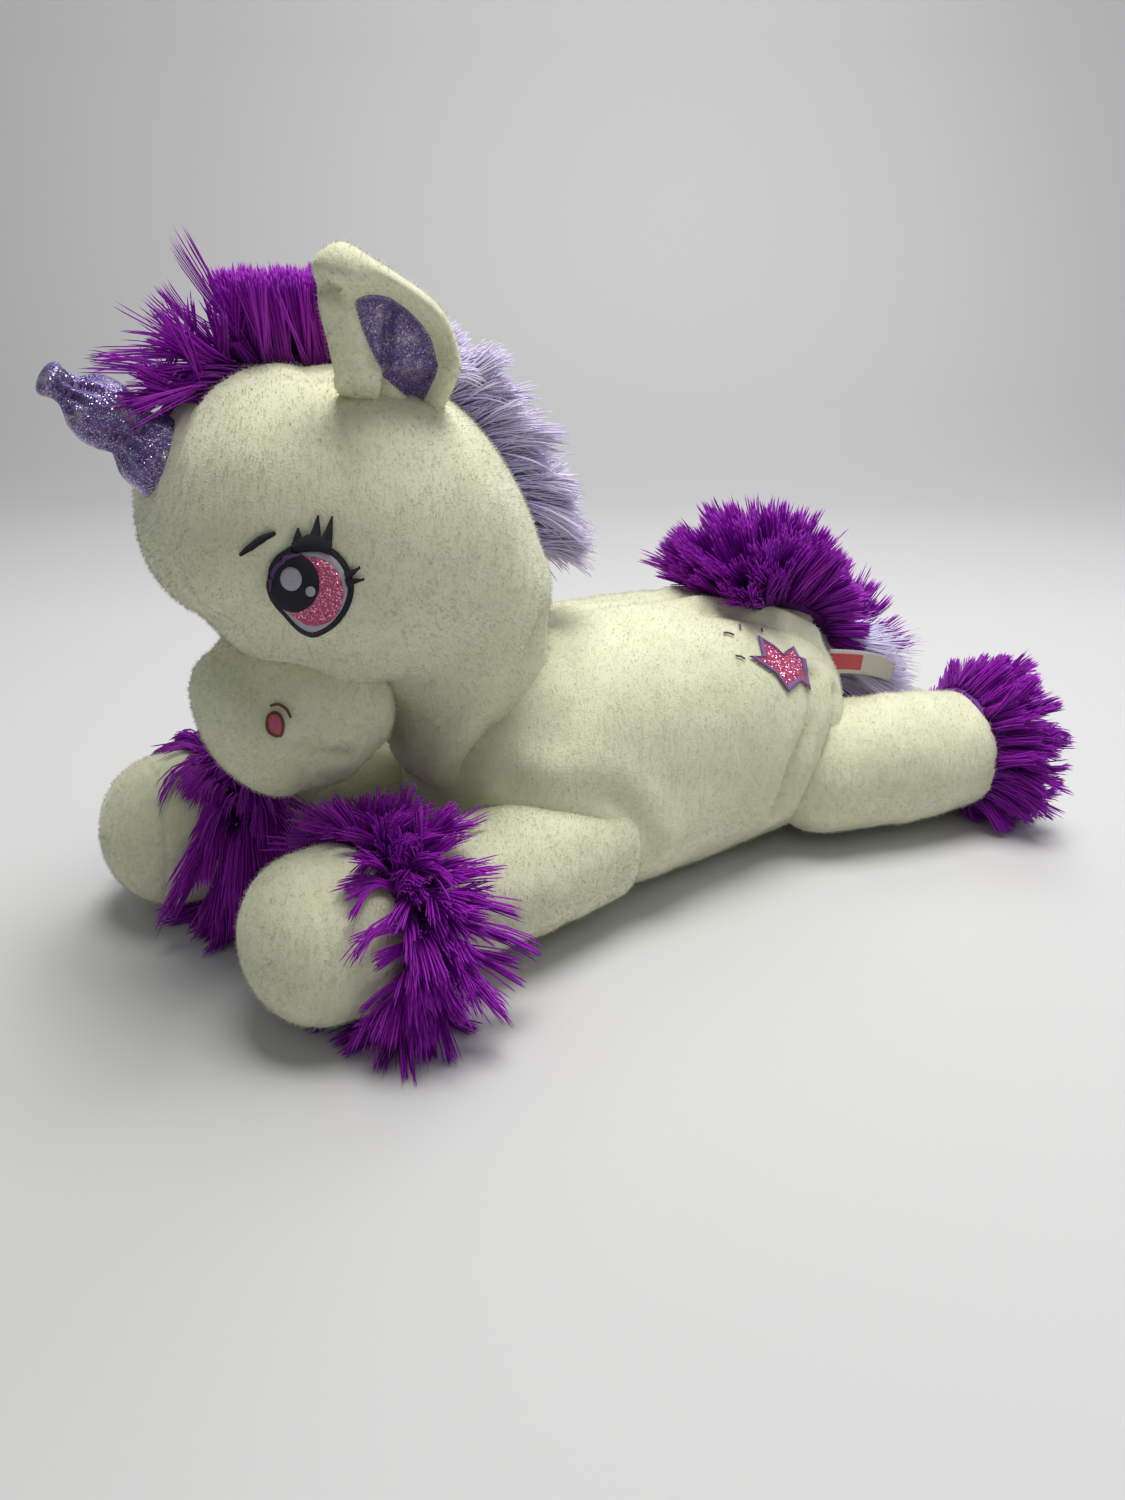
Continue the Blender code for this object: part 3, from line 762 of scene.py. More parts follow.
def makeHead():
    s = headShape
    mesh = loft("head", fromNeck(s["stations"]), s["nape"], s["brow"], 180, 160, 34, 2.1)
    co = coords(mesh)
    top = neckPivot + np.array((0, -0.055, 0.085))
    upward = ease((co[:, 2] - (neckPivot[2] + 0.045)) / 0.03)
    frontFade = ease((top[1] + 0.045 - co[:, 1]) / 0.03)
    gusset = np.abs(np.abs(co[:, 0]) - s["gussetHalf"])
    offset = seamOffset(gusset, 0.0017, 0.0009, 0.0004) * upward * frontFade
    for side in (1, -1):
        for line, width, depth, puff in s["folds"]:
            offset += seamOffset(distanceTo(co, sideLine(line, side, neckPivot)), width, depth, puff)
        for (x, y, z), depth in s["hollows"]:
            spot = neckPivot + (side * x, y, z)
            offset -= depth * nearness(np.linalg.norm(co - spot, axis=1), s["hollowWidth"])
    offset += 0.0012 * lumps(co, 0.05, 9) + 0.0005 * lumps(co, 0.016, 4)
    sculpt(mesh, offset)
    return finishPlush("headCover", mesh, "head", "head", (0, 0.3, -0.9))


muzzleShape = {
    "stations": [((0, -0.067, 0.0285), 0.0365, 0.0325), ((0, -0.083, 0.0215), 0.0402, 0.0355),
                 ((0, -0.098, 0.0158), 0.0364, 0.0296)],
    "rear": 0.020,
    "front": 0.0205,
    "smile": [(0.0335, -0.0990, 0.0225), (0.0372, -0.0920, 0.0193), (0.0390, -0.0821, 0.0126),
              (0.0385, -0.0760, 0.0112)],
    "pucker": (0.0388, -0.0800, 0.0120),   # where the mouth's line is drawn in at its end
}


def makeMuzzle():
    s = muzzleShape
    mesh = loft("muzzle", fromNeck(s["stations"]), s["rear"], s["front"], 140, 80, 30, 2.15)
    co = coords(mesh)
    offset = 0.0009 * lumps(co, 0.030, 12) + 0.0004 * lumps(co, 0.012, 3)
    for side in (1, -1):
        line = sideLine(s["smile"], side, neckPivot)
        offset += seamOffset(distanceTo(co, line), 0.0022, 0.0019, 0.0008)
        x, y, z = s["pucker"]
        offset -= 0.0016 * nearness(np.linalg.norm(co - (neckPivot + (side * x, y, z)), axis=1), 0.0035)
    sculpt(mesh, offset)
    return finishPlush("muzzleCover", mesh, "head", "muzzle", (0, 0.6, -0.5))


# legs, hooves and cuffs

legShape = {
    # share of the way from root to ankle, half width, half height
    "front": {
        "leg": [(0.0, 0.0262, 0.0275), (0.36, 0.0285, 0.0288), (0.68, 0.0278, 0.0278), (1.0, 0.0262, 0.0262)],
        "hoof": [(0.0, 0.0270, 0.0270), (0.38, 0.0322, 0.0334), (0.80, 0.0320, 0.0334)],
        "bow": 0.0016, "rootEnd": 0.018, "toe": 0.0285,
    },
    "rear": {
        "leg": [(0.0, 0.0320, 0.0320), (0.36, 0.0322, 0.0322), (0.68, 0.0306, 0.0302), (1.0, 0.0272, 0.0272)],
        "hoof": [(0.0, 0.0255, 0.0255), (0.50, 0.0270, 0.0270), (0.85, 0.0265, 0.0265)],
        "bow": 0.0025, "rootEnd": 0.030, "toe": 0.017,
    },
    "creases": [(0.30, 0.0010), (0.52, 0.0006), (0.93, 0.0016)],   # share along the leg, depth
    "hoofSeam": 0.0335,
}
legLines = {
    # offsets from the leg's root: ankle, hoof start, hoof end, for the left side
    "front": ((0.011, -0.099, 0.002), (0.0115, -0.105, 0.002), (0.013, -0.137, 0.002)),
    "rear": ((0.022, 0.088, 0.0005), (0.0235, 0.093, 0.0005), (0.027, 0.104, 0.0)),
}


# front or rear, 1 for left or -1 for right, and the start of its pieces' names
def legWords(leg):
    pair, word = leg.split("_")
    return pair, 1 if word == "left" else -1, pair + word.capitalize()


# root, ankle, hoof start and hoof end of a leg, in place
def legPoints(leg):
    root = pivots[leg + "_splay"]
    pair, side, _ = legWords(leg)
    return [root] + [root + np.array((x * side, y, z)) for x, y, z in legLines[pair]]


def makeLeg(leg):
    pair, side, word = legWords(leg)
    s = legShape[pair]
    root, ankle, hoofStart, hoofEnd = legPoints(leg)
    bow = np.array((s["bow"] * side, 0, 0))
    stations = [(root + (ankle - root) * share + bow * math.sin(math.pi * share), width, height)
                for share, width, height in s["leg"]]
    mesh = loft(leg + "Leg", stations, s["rootEnd"], 0.010, 120, 100, 24, 2.1)
    co = coords(mesh)
    along = (co - root) @ unit(ankle - root)
    offset = 0.0010 * lumps(co, 0.030, 20 + side) + 0.0005 * lumps(co, 0.012, 7)
    for place, strength in legShape["creases"]:
        ringed = along - place * np.linalg.norm(ankle - root) + 0.004 * lumps(co, 0.025, place * 10)
        offset -= strength * nearness(ringed, 0.0045) * (0.6 + 0.4 * lumps(co, 0.04, 31))
    sculpt(mesh, offset)
    pressFlat(mesh, 0.0008)
    comb = tuple(0.9 * unit(ankle - root))
    finishPlush(word + "LegCover", mesh, leg + "_leg", leg + "_leg", comb)

    stations = [(hoofStart + (hoofEnd - hoofStart) * share, width, height)
                for share, width, height in s["hoof"]]
    mesh = loft(leg + "Hoof", stations, 0.012, s["toe"], 150, 90, 40, 2.0)
    co = coords(mesh)
    ahead = unit(hoofEnd - hoofStart)
    along = (co - hoofStart) @ ahead
    seamAt = legShape["hoofSeam"] + 0.10 * (hoofEnd[2] - co[:, 2])
    around = np.arctan2(co[:, 2] - hoofEnd[2], (co[:, 0] - hoofEnd[0]))
    stitch = 0.00022 * nearness(along - seamAt, 0.0012) * np.cos(64 * around)
    offset = seamOffset(np.abs(along - seamAt), 0.0012, 0.0005, 0.0) + stitch
    offset += 0.0008 * lumps(co, 0.030, 40 + side) + 0.0003 * lumps(co, 0.010, 6)
    sculpt(mesh, offset)
    pressFlat(mesh, 0.0008)
    finishPlush(word + "HoofCover", mesh, leg + "_leg", leg + "_hoof", (0, 0.2, -0.7))


# long fur

strandShape = {
    "places": [0, 0.22, 0.45, 0.68, 0.92, 1.0],   # shares of a strand's length
    "taper": [1, 1, 1, 0.95, 0.75, 0.3],
}


# long cut strands in clumps, like yarn; s holds their length, spread, clump size and droop
def growFur(name, roots, up, s, body, nodes, mat):
    count = len(roots)
    clumps = max(2, count // s["perClump"])
    centres = rng.choice(count, clumps, replace=False)
    mine = np.linalg.norm(roots[:, None] - roots[centres][None], axis=2).argmin(1)
    guide = unit(unit(up[centres]) + s["spread"] * rng.normal(size=(clumps, 3)))
    size = np.broadcast_to(s["length"], count)[centres] * (1 - s["uneven"] * rng.random(clumps))
    heading = unit(guide[mine] + s["loose"] * rng.normal(size=(count, 3)))
    ownSize = size[mine] * (0.88 + 0.16 * rng.random(count))
    t = np.array(strandShape["places"])[None, :, None]
    side = s["curl"] * rng.normal(size=(clumps, 3))
    bend = (np.array((0, 0, -s["droop"])) + side)[mine][:, None]
    offset = roots - roots[centres][mine]
    held = 1 - s["gather"] * ease(t * 1.7)
    paths = (roots[centres][mine][:, None] + offset[:, None] * held
             + (heading[:, None] * t + bend * t * t) * ownSize[:, None, None])
    if "clear" in s:
        paths = s["clear"](paths)
    floor = 0.0008 + 0.0022 * rng.random((count, 1))
    paths[:, :, 2] = np.maximum(paths[:, :, 2], floor)
    radii = s["radius"] * np.array(strandShape["taper"]) * (0.75 + 0.5 * rng.random((count, 1)))
    tone = np.clip(0.55 * rng.random(clumps)[mine] + 0.45 * rng.random(count), 0, 1)
    made = tubesAlong(name, paths, radii, tone, mat)
    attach(made, body)
    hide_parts(*nodes)


cuffFur = {
    "count": 4600, "length": 0.038, "uneven": 0.35, "spread": 0.22, "loose": 0.06, "perClump": 15,
    "gather": 0.50, "droop": 0.34, "curl": 0.08, "radius": 0.00038,
}
cuffFit = {
    # share of the strands, half width and radius of the backing, and how far it sits back from the ankle
    "front": {"share": 1.25, "half": 0.008, "radius": 0.0268, "back": 0.001},
    "rear": {"share": 1.1, "half": 0.010, "radius": 0.0285, "back": 0.006},
}


def makeCuff(leg):
    pair, _, word = legWords(leg)
    fit = cuffFit[pair]
    root, ankle, hoofStart, hoofEnd = legPoints(leg)
    ahead = unit(hoofEnd - root)
    middle = (ankle + hoofStart) / 2 - ahead * fit["back"]
    half, radius = fit["half"], fit["radius"]
    count = int(cuffFur["count"] * fit["share"])
    spin = rng.random(count) * 2 * math.pi
    across = unit(np.cross(ahead, (0, 0, 1.0)))
    over = np.cross(across, ahead)
    up = across * np.cos(spin)[:, None] + over * np.sin(spin)[:, None]
    shift = (rng.random(count) * 2 - 1)[:, None]
    roots = middle + ahead * shift * half + up * radius
    above = roots[:, 2] > 0.002
    roots, up, shift = roots[above], up[above], shift[above]

    # keeps strands outside the leg and the hoof
    def clearOfHoof(paths):
        away = paths - middle
        along = away @ ahead
        outward = away - along[..., None] * ahead
        reach = np.linalg.norm(outward, axis=-1)
        wanted = 0.0290 + 0.0075 * ease(along / 0.020) * (1 - ease((along - 0.034) / 0.03))
        wanted[:, 0] = 0
        grow = np.maximum(wanted / np.maximum(reach, 1e-6), 1.0)
        return middle + along[..., None] * ahead + outward * grow[..., None]

    settings = dict(cuffFur)
    settings["clear"] = clearOfHoof
    if pair == "front":
        # lower strands lie forward over the hoof, upper ones stand out all ways
        low = ease(0.5 - 0.5 * up[:, 2:3])
        lean = 0.12 + 1.05 * low * low + shift * 0.50 + 0.45 * rng.normal(size=shift.shape)
        settings.update(gather=0.35)
        if leg == "front_right":
            settings.update(droop=0.75)
    else:
        lean = 1.25 + shift * 0.35 + 0.25 * rng.normal(size=shift.shape)
        settings.update(length=0.027, spread=0.18, droop=0.04)
        if leg == "rear_right":   # longer locks stand up on this one
            lean = lean - 0.60
            settings.update(length=0.034, spread=0.20, droop=-0.15)
    growFur(word + "CuffFur", roots, unit(up + ahead * lean), settings, leg + "_leg", [leg + "_cuff"],
            looks["purple"])

    # the knitted backing that the strands stand on
    stations = [(middle + ahead * place, radius + 0.0012, radius + 0.0012) for place in (-half, 0, half)]
    knit = loft(word + "CuffBacking", stations, 0.003, 0.003, 72, 8, 5, 2.0)
    pressFlat(knit, 0.0012)
    backing = newObject(word + "CuffBacking", knit, looks["purpleBacking"])
    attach(backing, leg + "_leg")


# random places along a line: the place, its share across from -1 to 1, and its share along
def alongStrip(line, count):
    t = rng.random(count) * (len(line) - 1)
    k = np.minimum(t.astype(int), len(line) - 2)
    base = line[k] + (line[k + 1] - line[k]) * (t - k)[:, None]
    return base, rng.random(count) * 2 - 1, t / (len(line) - 1)


# roots along a line on a surface, spread to both sides, with the surface's normals
def stripRoots(line, halfWidth, count, surface):
    base, wide, share = alongStrip(line, count)
    base[:, 0] += wide * halfWidth
    found = [surface.find_nearest(Vector(place))[:2] for place in base]
    return np.array([spot for spot, _ in found]), np.array([normal for _, normal in found]), share


# distance from middle to a smooth closed outline, at each angle
def closedRadius(points, middle, angles):
    points = np.array(points, float)
    loop = np.vstack([points[-2:], points, points[:3]])
    places = np.arange(len(loop), dtype=float)
    dense = throughStations(loop, places, np.linspace(2, 2 + len(points), 600, endpoint=False)) - middle
    turn = np.arctan2(dense[:, 1], dense[:, 0])
    order = np.argsort(turn)
    return np.interp(angles, turn[order], np.linalg.norm(dense[order], axis=1), period=2 * math.pi)


forelockFur = {
    "count": 3600, "uneven": 0.10, "spread": 0.085, "loose": 0.04, "perClump": 14,
    "gather": 0.45, "droop": 0.0, "curl": 0.03, "radius": 0.00040, "top": 0.0315,
}
fringeFur = {
    "count": 620, "length": 0.033, "uneven": 0.50, "spread": 0.30, "loose": 0.08, "perClump": 13,
    "gather": 0.60, "droop": 0.14, "curl": 0.30, "radius": 0.00030,
}
maneFur = {
    "count": 4600, "length": 0.033, "uneven": 0.35, "spread": 0.20, "loose": 0.10, "perClump": 20,
    "gather": 0.45, "droop": 0.20, "curl": 0.10, "radius": 0.00034,
}
tailFur = {
    # lengths from the front of the strip to its back
    "lengths": (0.033, 0.046, 0.043, 0.028, 0.022),
    "count": 7200, "uneven": 0.22, "spread": 0.14, "loose": 0.05, "perClump": 20,
    "gather": 0.60, "droop": 0.03, "curl": 0.06, "radius": 0.00044,
}
underFur = {
    "count": 1700, "length": 0.050, "uneven": 0.3, "spread": 0.16, "loose": 0.09, "perClump": 12,
    "gather": 0.45, "droop": 0.12, "curl": 0.06, "radius": 0.00030,
}


def makeHair(head):
    surface = surfaceOf(head.data)
    low, high = (np.array(c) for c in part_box("forelock"))
    # standing brush along the crown, cut level
    crown = smoothLine((0, low[1] + 0.033, low[2] + 0.020),
                       (0, (low[1] + high[1]) / 2 + 0.006, low[2] + 0.026),
                       (0, high[1] - 0.006, low[2] + 0.026))
    roots, _, t = stripRoots(crown, 0.014, forelockFur["count"], surface)
    way = unit(np.stack([roots[:, 0] * 9, -0.20 + 0.14 * t, 1 + 0 * t], 1))
    settings = dict(forelockFur)
    level = roots[:, 2].mean() + forelockFur["top"]
    settings["length"] = np.clip((level - roots[:, 2]) / way[:, 2], 0.02, 0.05)
    growFur("forelockFur", roots, way, settings, "head", ["forelock"], looks["purple"])
    # loose locks that fall forward over the horn
    brow = smoothLine((0, low[1] + 0.012, low[2] + 0.004), (0, low[1] + 0.022, low[2] + 0.015),
                      (0, low[1] + 0.034, low[2] + 0.021))
    roots, _, t = stripRoots(brow, 0.013, fringeFur["count"], surface)
    rise = np.clip(0.12 + 0.80 * t + 0.2 * rng.normal(size=len(t)), 0.06, 0.90)
    way = unit(np.stack([roots[:, 0] * 14, -1.0 + 0.35 * t, rise], 1))
    growFur("fringeFur", roots, way, fringeFur, "head", ["forelock"], looks["purple"])

    low, high = (np.array(c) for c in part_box("mane"))
    nape = smoothLine((0, low[1] + 0.006, high[2] - 0.012), (0, low[1] + 0.030, high[2] - 0.032),
                      (0, high[1] - 0.022, low[2] + 0.045), (0, high[1] - 0.020, low[2] + 0.016))
    roots, up, t = stripRoots(nape, 0.014, maneFur["count"], surface)
    way = up + np.stack([roots[:, 0] * 10, 0.40 - 0.1 * t, -0.05 - 0.35 * t], 1)
    growFur("maneFur", roots, unit(way), maneFur, "head", ["mane"], looks["lavender"])


# the knitted backing that a run of tail fur stands on; sizes are place on the line, half width, half height
def sewBacking(name, line, sizes, start, along, mat):
    stations = [(line[k], width, height) for k, width, height in sizes]
    backing = newObject(name, loft(name, stations, start, 0.004, 48, along, 6, 2.0), mat)
    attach(backing, "tail")


tailShape = {
    # offsets from the hinge
    "dock": [((0, 0, 0), 0.0135), ((0, 0.008, 0.004), 0.0130), ((0, 0.014, 0.006), 0.0110)],
    "arch": [(0, -0.034, 0.023), (0, -0.012, 0.028), (0, 0.010, 0.023), (0, 0.026, 0.010),
             (0, 0.032, -0.008)],
    "heart": (0, -0.002, 0.002),   # the fur fans out from here
    "under": [(0, 0.028, -0.004), (0, 0.034, -0.016), (0, 0.034, -0.030)],
    "archSizes": [(0, 0.011, 0.005), (15, 0.016, 0.009), (32, 0.017, 0.012), (48, 0.014, 0.009),
                  (59, 0.009, 0.005)],
    "underSizes": [(0, 0.010, 0.006), (30, 0.012, 0.007), (59, 0.009, 0.005)],
}


def makeTail():
    s = tailShape
    hinge = pivots["tail_lift"]
    stations = [(hinge + place, radius, radius) for place, radius in s["dock"]]
    mesh = loft("tailDock", stations, 0.0135, 0.008, 64, 40, 14, 2.0)
    sculpt(mesh, 0.0008 * lumps(coords(mesh), 0.014, 3))
    finishPlush("tailDockCover", mesh, "tail", "tail_dock", (0, 0.8, 0.2))

    # the fur is sewn along an arched strip, and fans out from it
    arch = smoothLine(*[hinge + place for place in s["arch"]])
    base, wide, _ = alongStrip(arch, tailFur["count"])
    outward = unit(base - (hinge + s["heart"]))
    spot = np.clip((base[:, 1] - arch[0][1]) / (arch[-1][1] - arch[0][1]), 0, 1)
    outward[:, 2] += 0.12 * spot - 0.10
    up = unit(unit(outward) + np.stack([wide * 0.70, 0 * wide, 0 * wide], 1))
    sideways = np.stack([wide * 0.017, 0 * wide, 0 * wide], 1)
    roots = base + sideways - outward * (wide * wide * 0.008)[:, None]
    settings = dict(tailFur)
    settings["length"] = np.interp(spot, np.linspace(0, 1, 5), tailFur["lengths"])
    growFur("tailFur", roots, up, settings, "tail", ["tail_fur"], looks["purple"])
    sewBacking("tailBacking", arch, s["archSizes"], 0.004, 40, looks["purpleBacking"])

    under = smoothLine(*[hinge + place for place in s["under"]])
    roots, wide, _ = alongStrip(under, underFur["count"])
    roots[:, 0] += wide * 0.012
    up = unit(np.stack([wide * 0.5, np.full(len(wide), 0.95), np.full(len(wide), -0.12)], 1))
    growFur("tailUnderFur", roots, up, underFur, "tail", ["tail_underfur"], looks["lavender"])
    sewBacking("tailUnderBacking", under, s["underSizes"], 0.005, 24,
               looks["lavenderBacking"])


# horn

hornShape = {
    # offset from the horn's root along Y and Z, radius
    "stations": [(0, 0, 0.0136), (-0.0075, 0.0082, 0.0140), (-0.0128, 0.0136, 0.0130),
                 (-0.0182, 0.0190, 0.0086), (-0.0222, 0.0228, 0.0112), (-0.0264, 0.0264, 0.0118),
                 (-0.0304, 0.0298, 0.0102),
                 (-0.0350, 0.0334, 0.0050), (-0.0378, 0.0356, 0.0050), (-0.0405, 0.0376, 0.0062)],
    "creases": 9,
    "bindings": {"lower": 3, "upper": 7},   # the station that each one draws in
    "bindingTurns": 3,
    "threadRadius": 0.00032,
}


def makeHorn():
    hinge = pivots["horn_bend"]
    stations = [(hinge + (0, y, z), radius, radius) for y, z, radius in hornShape["stations"]]
    mesh = loft("horn", stations, 0.0128, 0.0030, 132, 150, 16, 2.0)
    co = coords(mesh)
    line = np.array([s[0] for s in stations])
    places = runAlong(line)
    ahead = unit(line[-1] - line[0])
    along = (co - hinge) @ ahead
    side = co[:, 0]
    high = (co - hinge) @ np.cross(ahead, (1.0, 0, 0))
    spin = np.arctan2(high, side)
    offset = np.zeros(len(co))
    for k in hornShape["bindings"].values():
        near = nearness(along - places[k] * 0.985, 0.0052)
        offset += 0.0008 * near * np.sin(hornShape["creases"] * spin + 2.5 * lumps(co, 0.02, 6))
    offset += 0.0006 * lumps(co, 0.010, 3)
    sculpt(mesh, offset)
    horn = newObject("hornCover", mesh, looks["lame"])
    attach(horn, "horn")
    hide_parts("horn_cover", "horn_stuffing")
    for word, k in hornShape["bindings"].items():
        turns = hornShape["bindingTurns"]
        steps = 72 * turns
        a = np.linspace(0, 2 * math.pi * turns, steps)
        axis = unit(line[k + 1] - line[k - 1])
        across = np.array((1.0, 0, 0))
        over = np.cross(axis, across)
        ring = (line[k] + axis * ((a / a[-1] - 0.5) * 0.0016)[:, None]
                + (across * np.cos(a)[:, None] + over * np.sin(a)[:, None]) * (stations[k][1] - 0.0001))
        curve = bpy.data.curves.new("hornBinding_" + word, "CURVE")
        curve.dimensions = "3D"
        curve.bevel_depth = hornShape["threadRadius"]
        curve.bevel_resolution = 2
        curve.use_fill_caps = True
        spline = curve.splines.new("POLY")
        spline.points.add(steps - 1)
        spline.points.foreach_set("co", np.hstack([ring, np.ones((steps, 1))]).ravel())
        thread = newObject("hornBinding_" + word, curve, looks["lilacThread"])
        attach(thread, "horn")
        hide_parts("horn_binding_" + word)


# ears

earShape = {
    # the ear, its lining and the fold of its tip, as offsets along Y and Z from the hinge
    "outline": [(-0.0285, 0.001), (-0.0300, 0.009), (-0.0315, 0.017), (-0.0330, 0.027), (-0.0340, 0.039),
                (-0.0300, 0.0452), (-0.0222, 0.0480), (-0.0138, 0.0450), (-0.0022, 0.0380), (0.0068, 0.0315),
                (0.0132, 0.0232), (0.0166, 0.0105), (0.0162, -0.004), (0.0120, -0.013), (-0.002, -0.013),
                (-0.018, -0.007)],
    "lining": [(-0.0184, 0.0305), (-0.0094, 0.0306), (-0.0024, 0.0265), (0.0040, 0.0195), (0.0070, 0.0107),
               (0.0064, 0.0030), (0.0036, -0.0040), (-0.0036, 0.0010), (-0.0098, 0.0060), (-0.0130, 0.0110),
               (-0.0158, 0.0172), (-0.0182, 0.0245)],
    "fold": [(-0.0360, 0.0375), (-0.0310, 0.0348), (-0.0240, 0.0326)],
    "middle": (-0.0060, 0.0135),
    "rim": 0.0070,
    "tipRim": 0.0110,
    "back": 0.0062,
    "hollow": 0.0015,
    "lean": 0.21,
    "footFrom": 0.008,
    "footIn": 0.75,
    "droop": 112.0,
    "sweepBack": 24.0,
}


def makeEar(side):
    word = "left" if side == 1 else "right"
    hinge = pivots["ear_" + word + "_flop"]
    s = earShape
    middle = np.array(s["middle"])
    around = 200
    angles = np.linspace(-math.pi, math.pi, around, endpoint=False)
    ray = np.stack([np.cos(angles), np.sin(angles)], 1)
    outer = middle + ray * closedRadius(s["outline"], middle, angles)[:, None]
    inner = middle + ray * closedRadius(s["lining"], middle, angles)[:, None]
    tip = nearness(angles - math.radians(128), 0.55)
    rim = s["rim"] + (s["tipRim"] - s["rim"]) * tip - 0.002 * nearness(angles + 1.9, 0.8)
    rows = []
    for share in np.linspace(0, 1, 22)[:-1]:
        bent = math.sin(math.pi * share) ** 0.62 if share else 0.0
        rows.append((outer + (inner - outer) * share, rim * bent - s["hollow"] * share ** 3))
    for share in np.linspace(0, 1, 12)[:-1]:
        depth = -s["hollow"] - 0.0012 * math.sin(share * 1.5)
        rows.append((inner + (middle - inner) * share, np.full(around, depth)))
    rows.append((middle + 0 * inner, np.full(around, -s["hollow"] - 0.0012)))
    backRows = []
    for share in np.linspace(0, 1, 20)[1:]:
        backRows.append((outer + (middle - outer) * share,
                         np.full(around, -s["back"] * math.sin(math.pi / 2 * share) ** 0.55 - 0.0006)))
    rows = rows[::-1] + backRows
    co = np.vstack([np.column_stack([x, spot]) for spot, x in rows])
    mesh = bpy.data.meshes.new("ear_" + word)
    mesh.from_pydata(co.tolist(), [], gridFaces(len(rows), around))
    faceOutward(mesh, 0.00001)
    relax(mesh)
    co = coords(mesh)
    fold = smoothLine(*[(0.006, y, z) for y, z in s["fold"]])
    flat = co * (0, 1, 1) + (0.006, 0, 0)
    # the tip folds forward over the flap below it, and the lining creases down the middle
    start, end = (np.array(s["fold"][k]) for k in (0, -1))
    across = (end - start) / np.linalg.norm(end - start)
    above = (co[:, 2] - start[1]) * across[0] - (co[:, 1] - start[0]) * across[1]
    near = 1 - ease((co[:, 1] - end[0] + 0.002) / 0.012)
    front = ease(co[:, 0] / 0.003 + 0.8)
    offset = -0.0060 * nearness(distanceTo(flat, fold), 0.0024) * front
    offset += (0.0034 * ease((above + 0.0006) / 0.0026) - 0.0012) * near * front
    crease = nearness(co[:, 1] + 0.0085 - 0.16 * (co[:, 2] - 0.015), 0.0016)
    offset -= 0.0030 * crease * ease((0.031 - co[:, 2]) / 0.006) * (co[:, 0] > -0.004)
    offset += 0.0007 * lumps(co, 0.016, 9 + side)
    sculpt(mesh, offset)
    relax(mesh)

    lining = makeLining(mesh, word, inner, middle)
    for item in (mesh, lining.data):   # the top leans out, and the foot goes into the head
        co = coords(item)
        lift = (co[:, 2] - 0.025) * s["lean"]
        foot = np.maximum(s["footFrom"] - co[:, 2], 0) * s["footIn"]
        setCoords(item, co + np.stack([lift - foot, -0.6 * lift, 0 * lift], 1))
    turn = Matrix.Identity(4)
    if side == -1:
        turn = (Matrix.Rotation(math.radians(-s["droop"]), 4, "Y")
                @ Matrix.Rotation(math.radians(s["sweepBack"]), 4, "X"))
    stand = Matrix.Translation(Vector(hinge) + Vector((0.0015 * side, 0, 0)))
    place = stand @ turn @ Matrix.Diagonal((side, 1, 1, 1))
    for item in (mesh, lining.data):
        item.transform(place)
        if side == -1:
            item.flip_normals()
    finishPlush("ear_" + word + "_cover", mesh, "ear_" + word, "ear_" + word, (0, 0.1, 0.7))
    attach(lining, "ear_" + word)
    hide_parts("ear_lining_" + word)


# the shiny cloth in the ear's hollow, a little above its floor, with a crease down it
def makeLining(mesh, word, inner, middle):
    tree = surfaceOf(mesh)
    verts = []
    rings = 16
    for share in np.linspace(1.05, 0.0, rings):
        for spot in middle + (inner - middle) * share:
            hit = tree.ray_cast(Vector((0.05, *spot)), Vector((-1, 0, 0)))[0]
            verts.append((hit.x + 0.0006, *spot))
    made = bpy.data.meshes.new("earLining_" + word)
    made.from_pydata(verts, [], gridFaces(rings, len(inner)))
    faceOutward(made, 0.00002, Vector((1, 0, 0)))
    co = coords(made)
    co[:, 0] += 0.0005 * lumps(co, 0.006, 5)
    setCoords(made, co)
    lining = newObject("earLining_" + word, made, looks["lame"])
    wall = lining.modifiers.new("cloth", "SOLIDIFY")
    wall.thickness = 0.0005
    wall.offset = -1.0
    return lining


# embroidery

# across and up directions for work seen along a direction
def facing(direction):
    out = unit(np.array(direction, float))
    across = unit(np.cross((0, 0, 1.0), out))
    return across, np.cross(out, across), out


# a patch laid on a surface: shape is rows of (across, up) points in metres, each row a ring or a band
def sewOn(name, tree, centre, direction, shape, lift, mat, dome=0.0003, thick=0.0009):
    across, up, out = facing(direction)
    rows = [np.array(row, float) for row in shape["rows"]]
    verts = []
    for r, row in enumerate(rows):
        rise = lift + dome * shape["crown"](r / max(len(rows) - 1, 1))
        for u, w in row:
            start = np.array(centre) + across * u + up * w + out * 0.03
            hit, normal, _, _ = tree.ray_cast(Vector(start), Vector(-out), 0.08)
            if hit is None:
                hit, normal, _, _ = tree.find_nearest(Vector(start - out * 0.03))
            verts.append(hit + normal * rise)
    mesh = bpy.data.meshes.new(name)
    mesh.from_pydata([tuple(v) for v in verts], [], gridFaces(len(rows), len(rows[0]), shape["closed"]))
    faceOutward(mesh, 0.00001, Vector(out))
    made = newObject(name, mesh, mat)
    wall = made.modifiers.new("thread", "SOLIDIFY")
    wall.thickness = thick
    wall.offset = -1.0
    return made


# how a patch crowns: a filled shape toward its middle, a stitched line along its spine
def domed(share):
    return math.sqrt(max(0.0, 1 - share * share))


def ridged(share):
    return math.sin(math.pi * share)


# rows for a filled outline, from its middle out
def disc(outline, rings=9):
    outline = np.array(outline, float)
    centre = outline.mean(0)
    rows = [centre + (outline - centre) * share for share in np.linspace(0.02, 1, rings)]
    return {"rows": rows, "closed": True, "crown": domed}


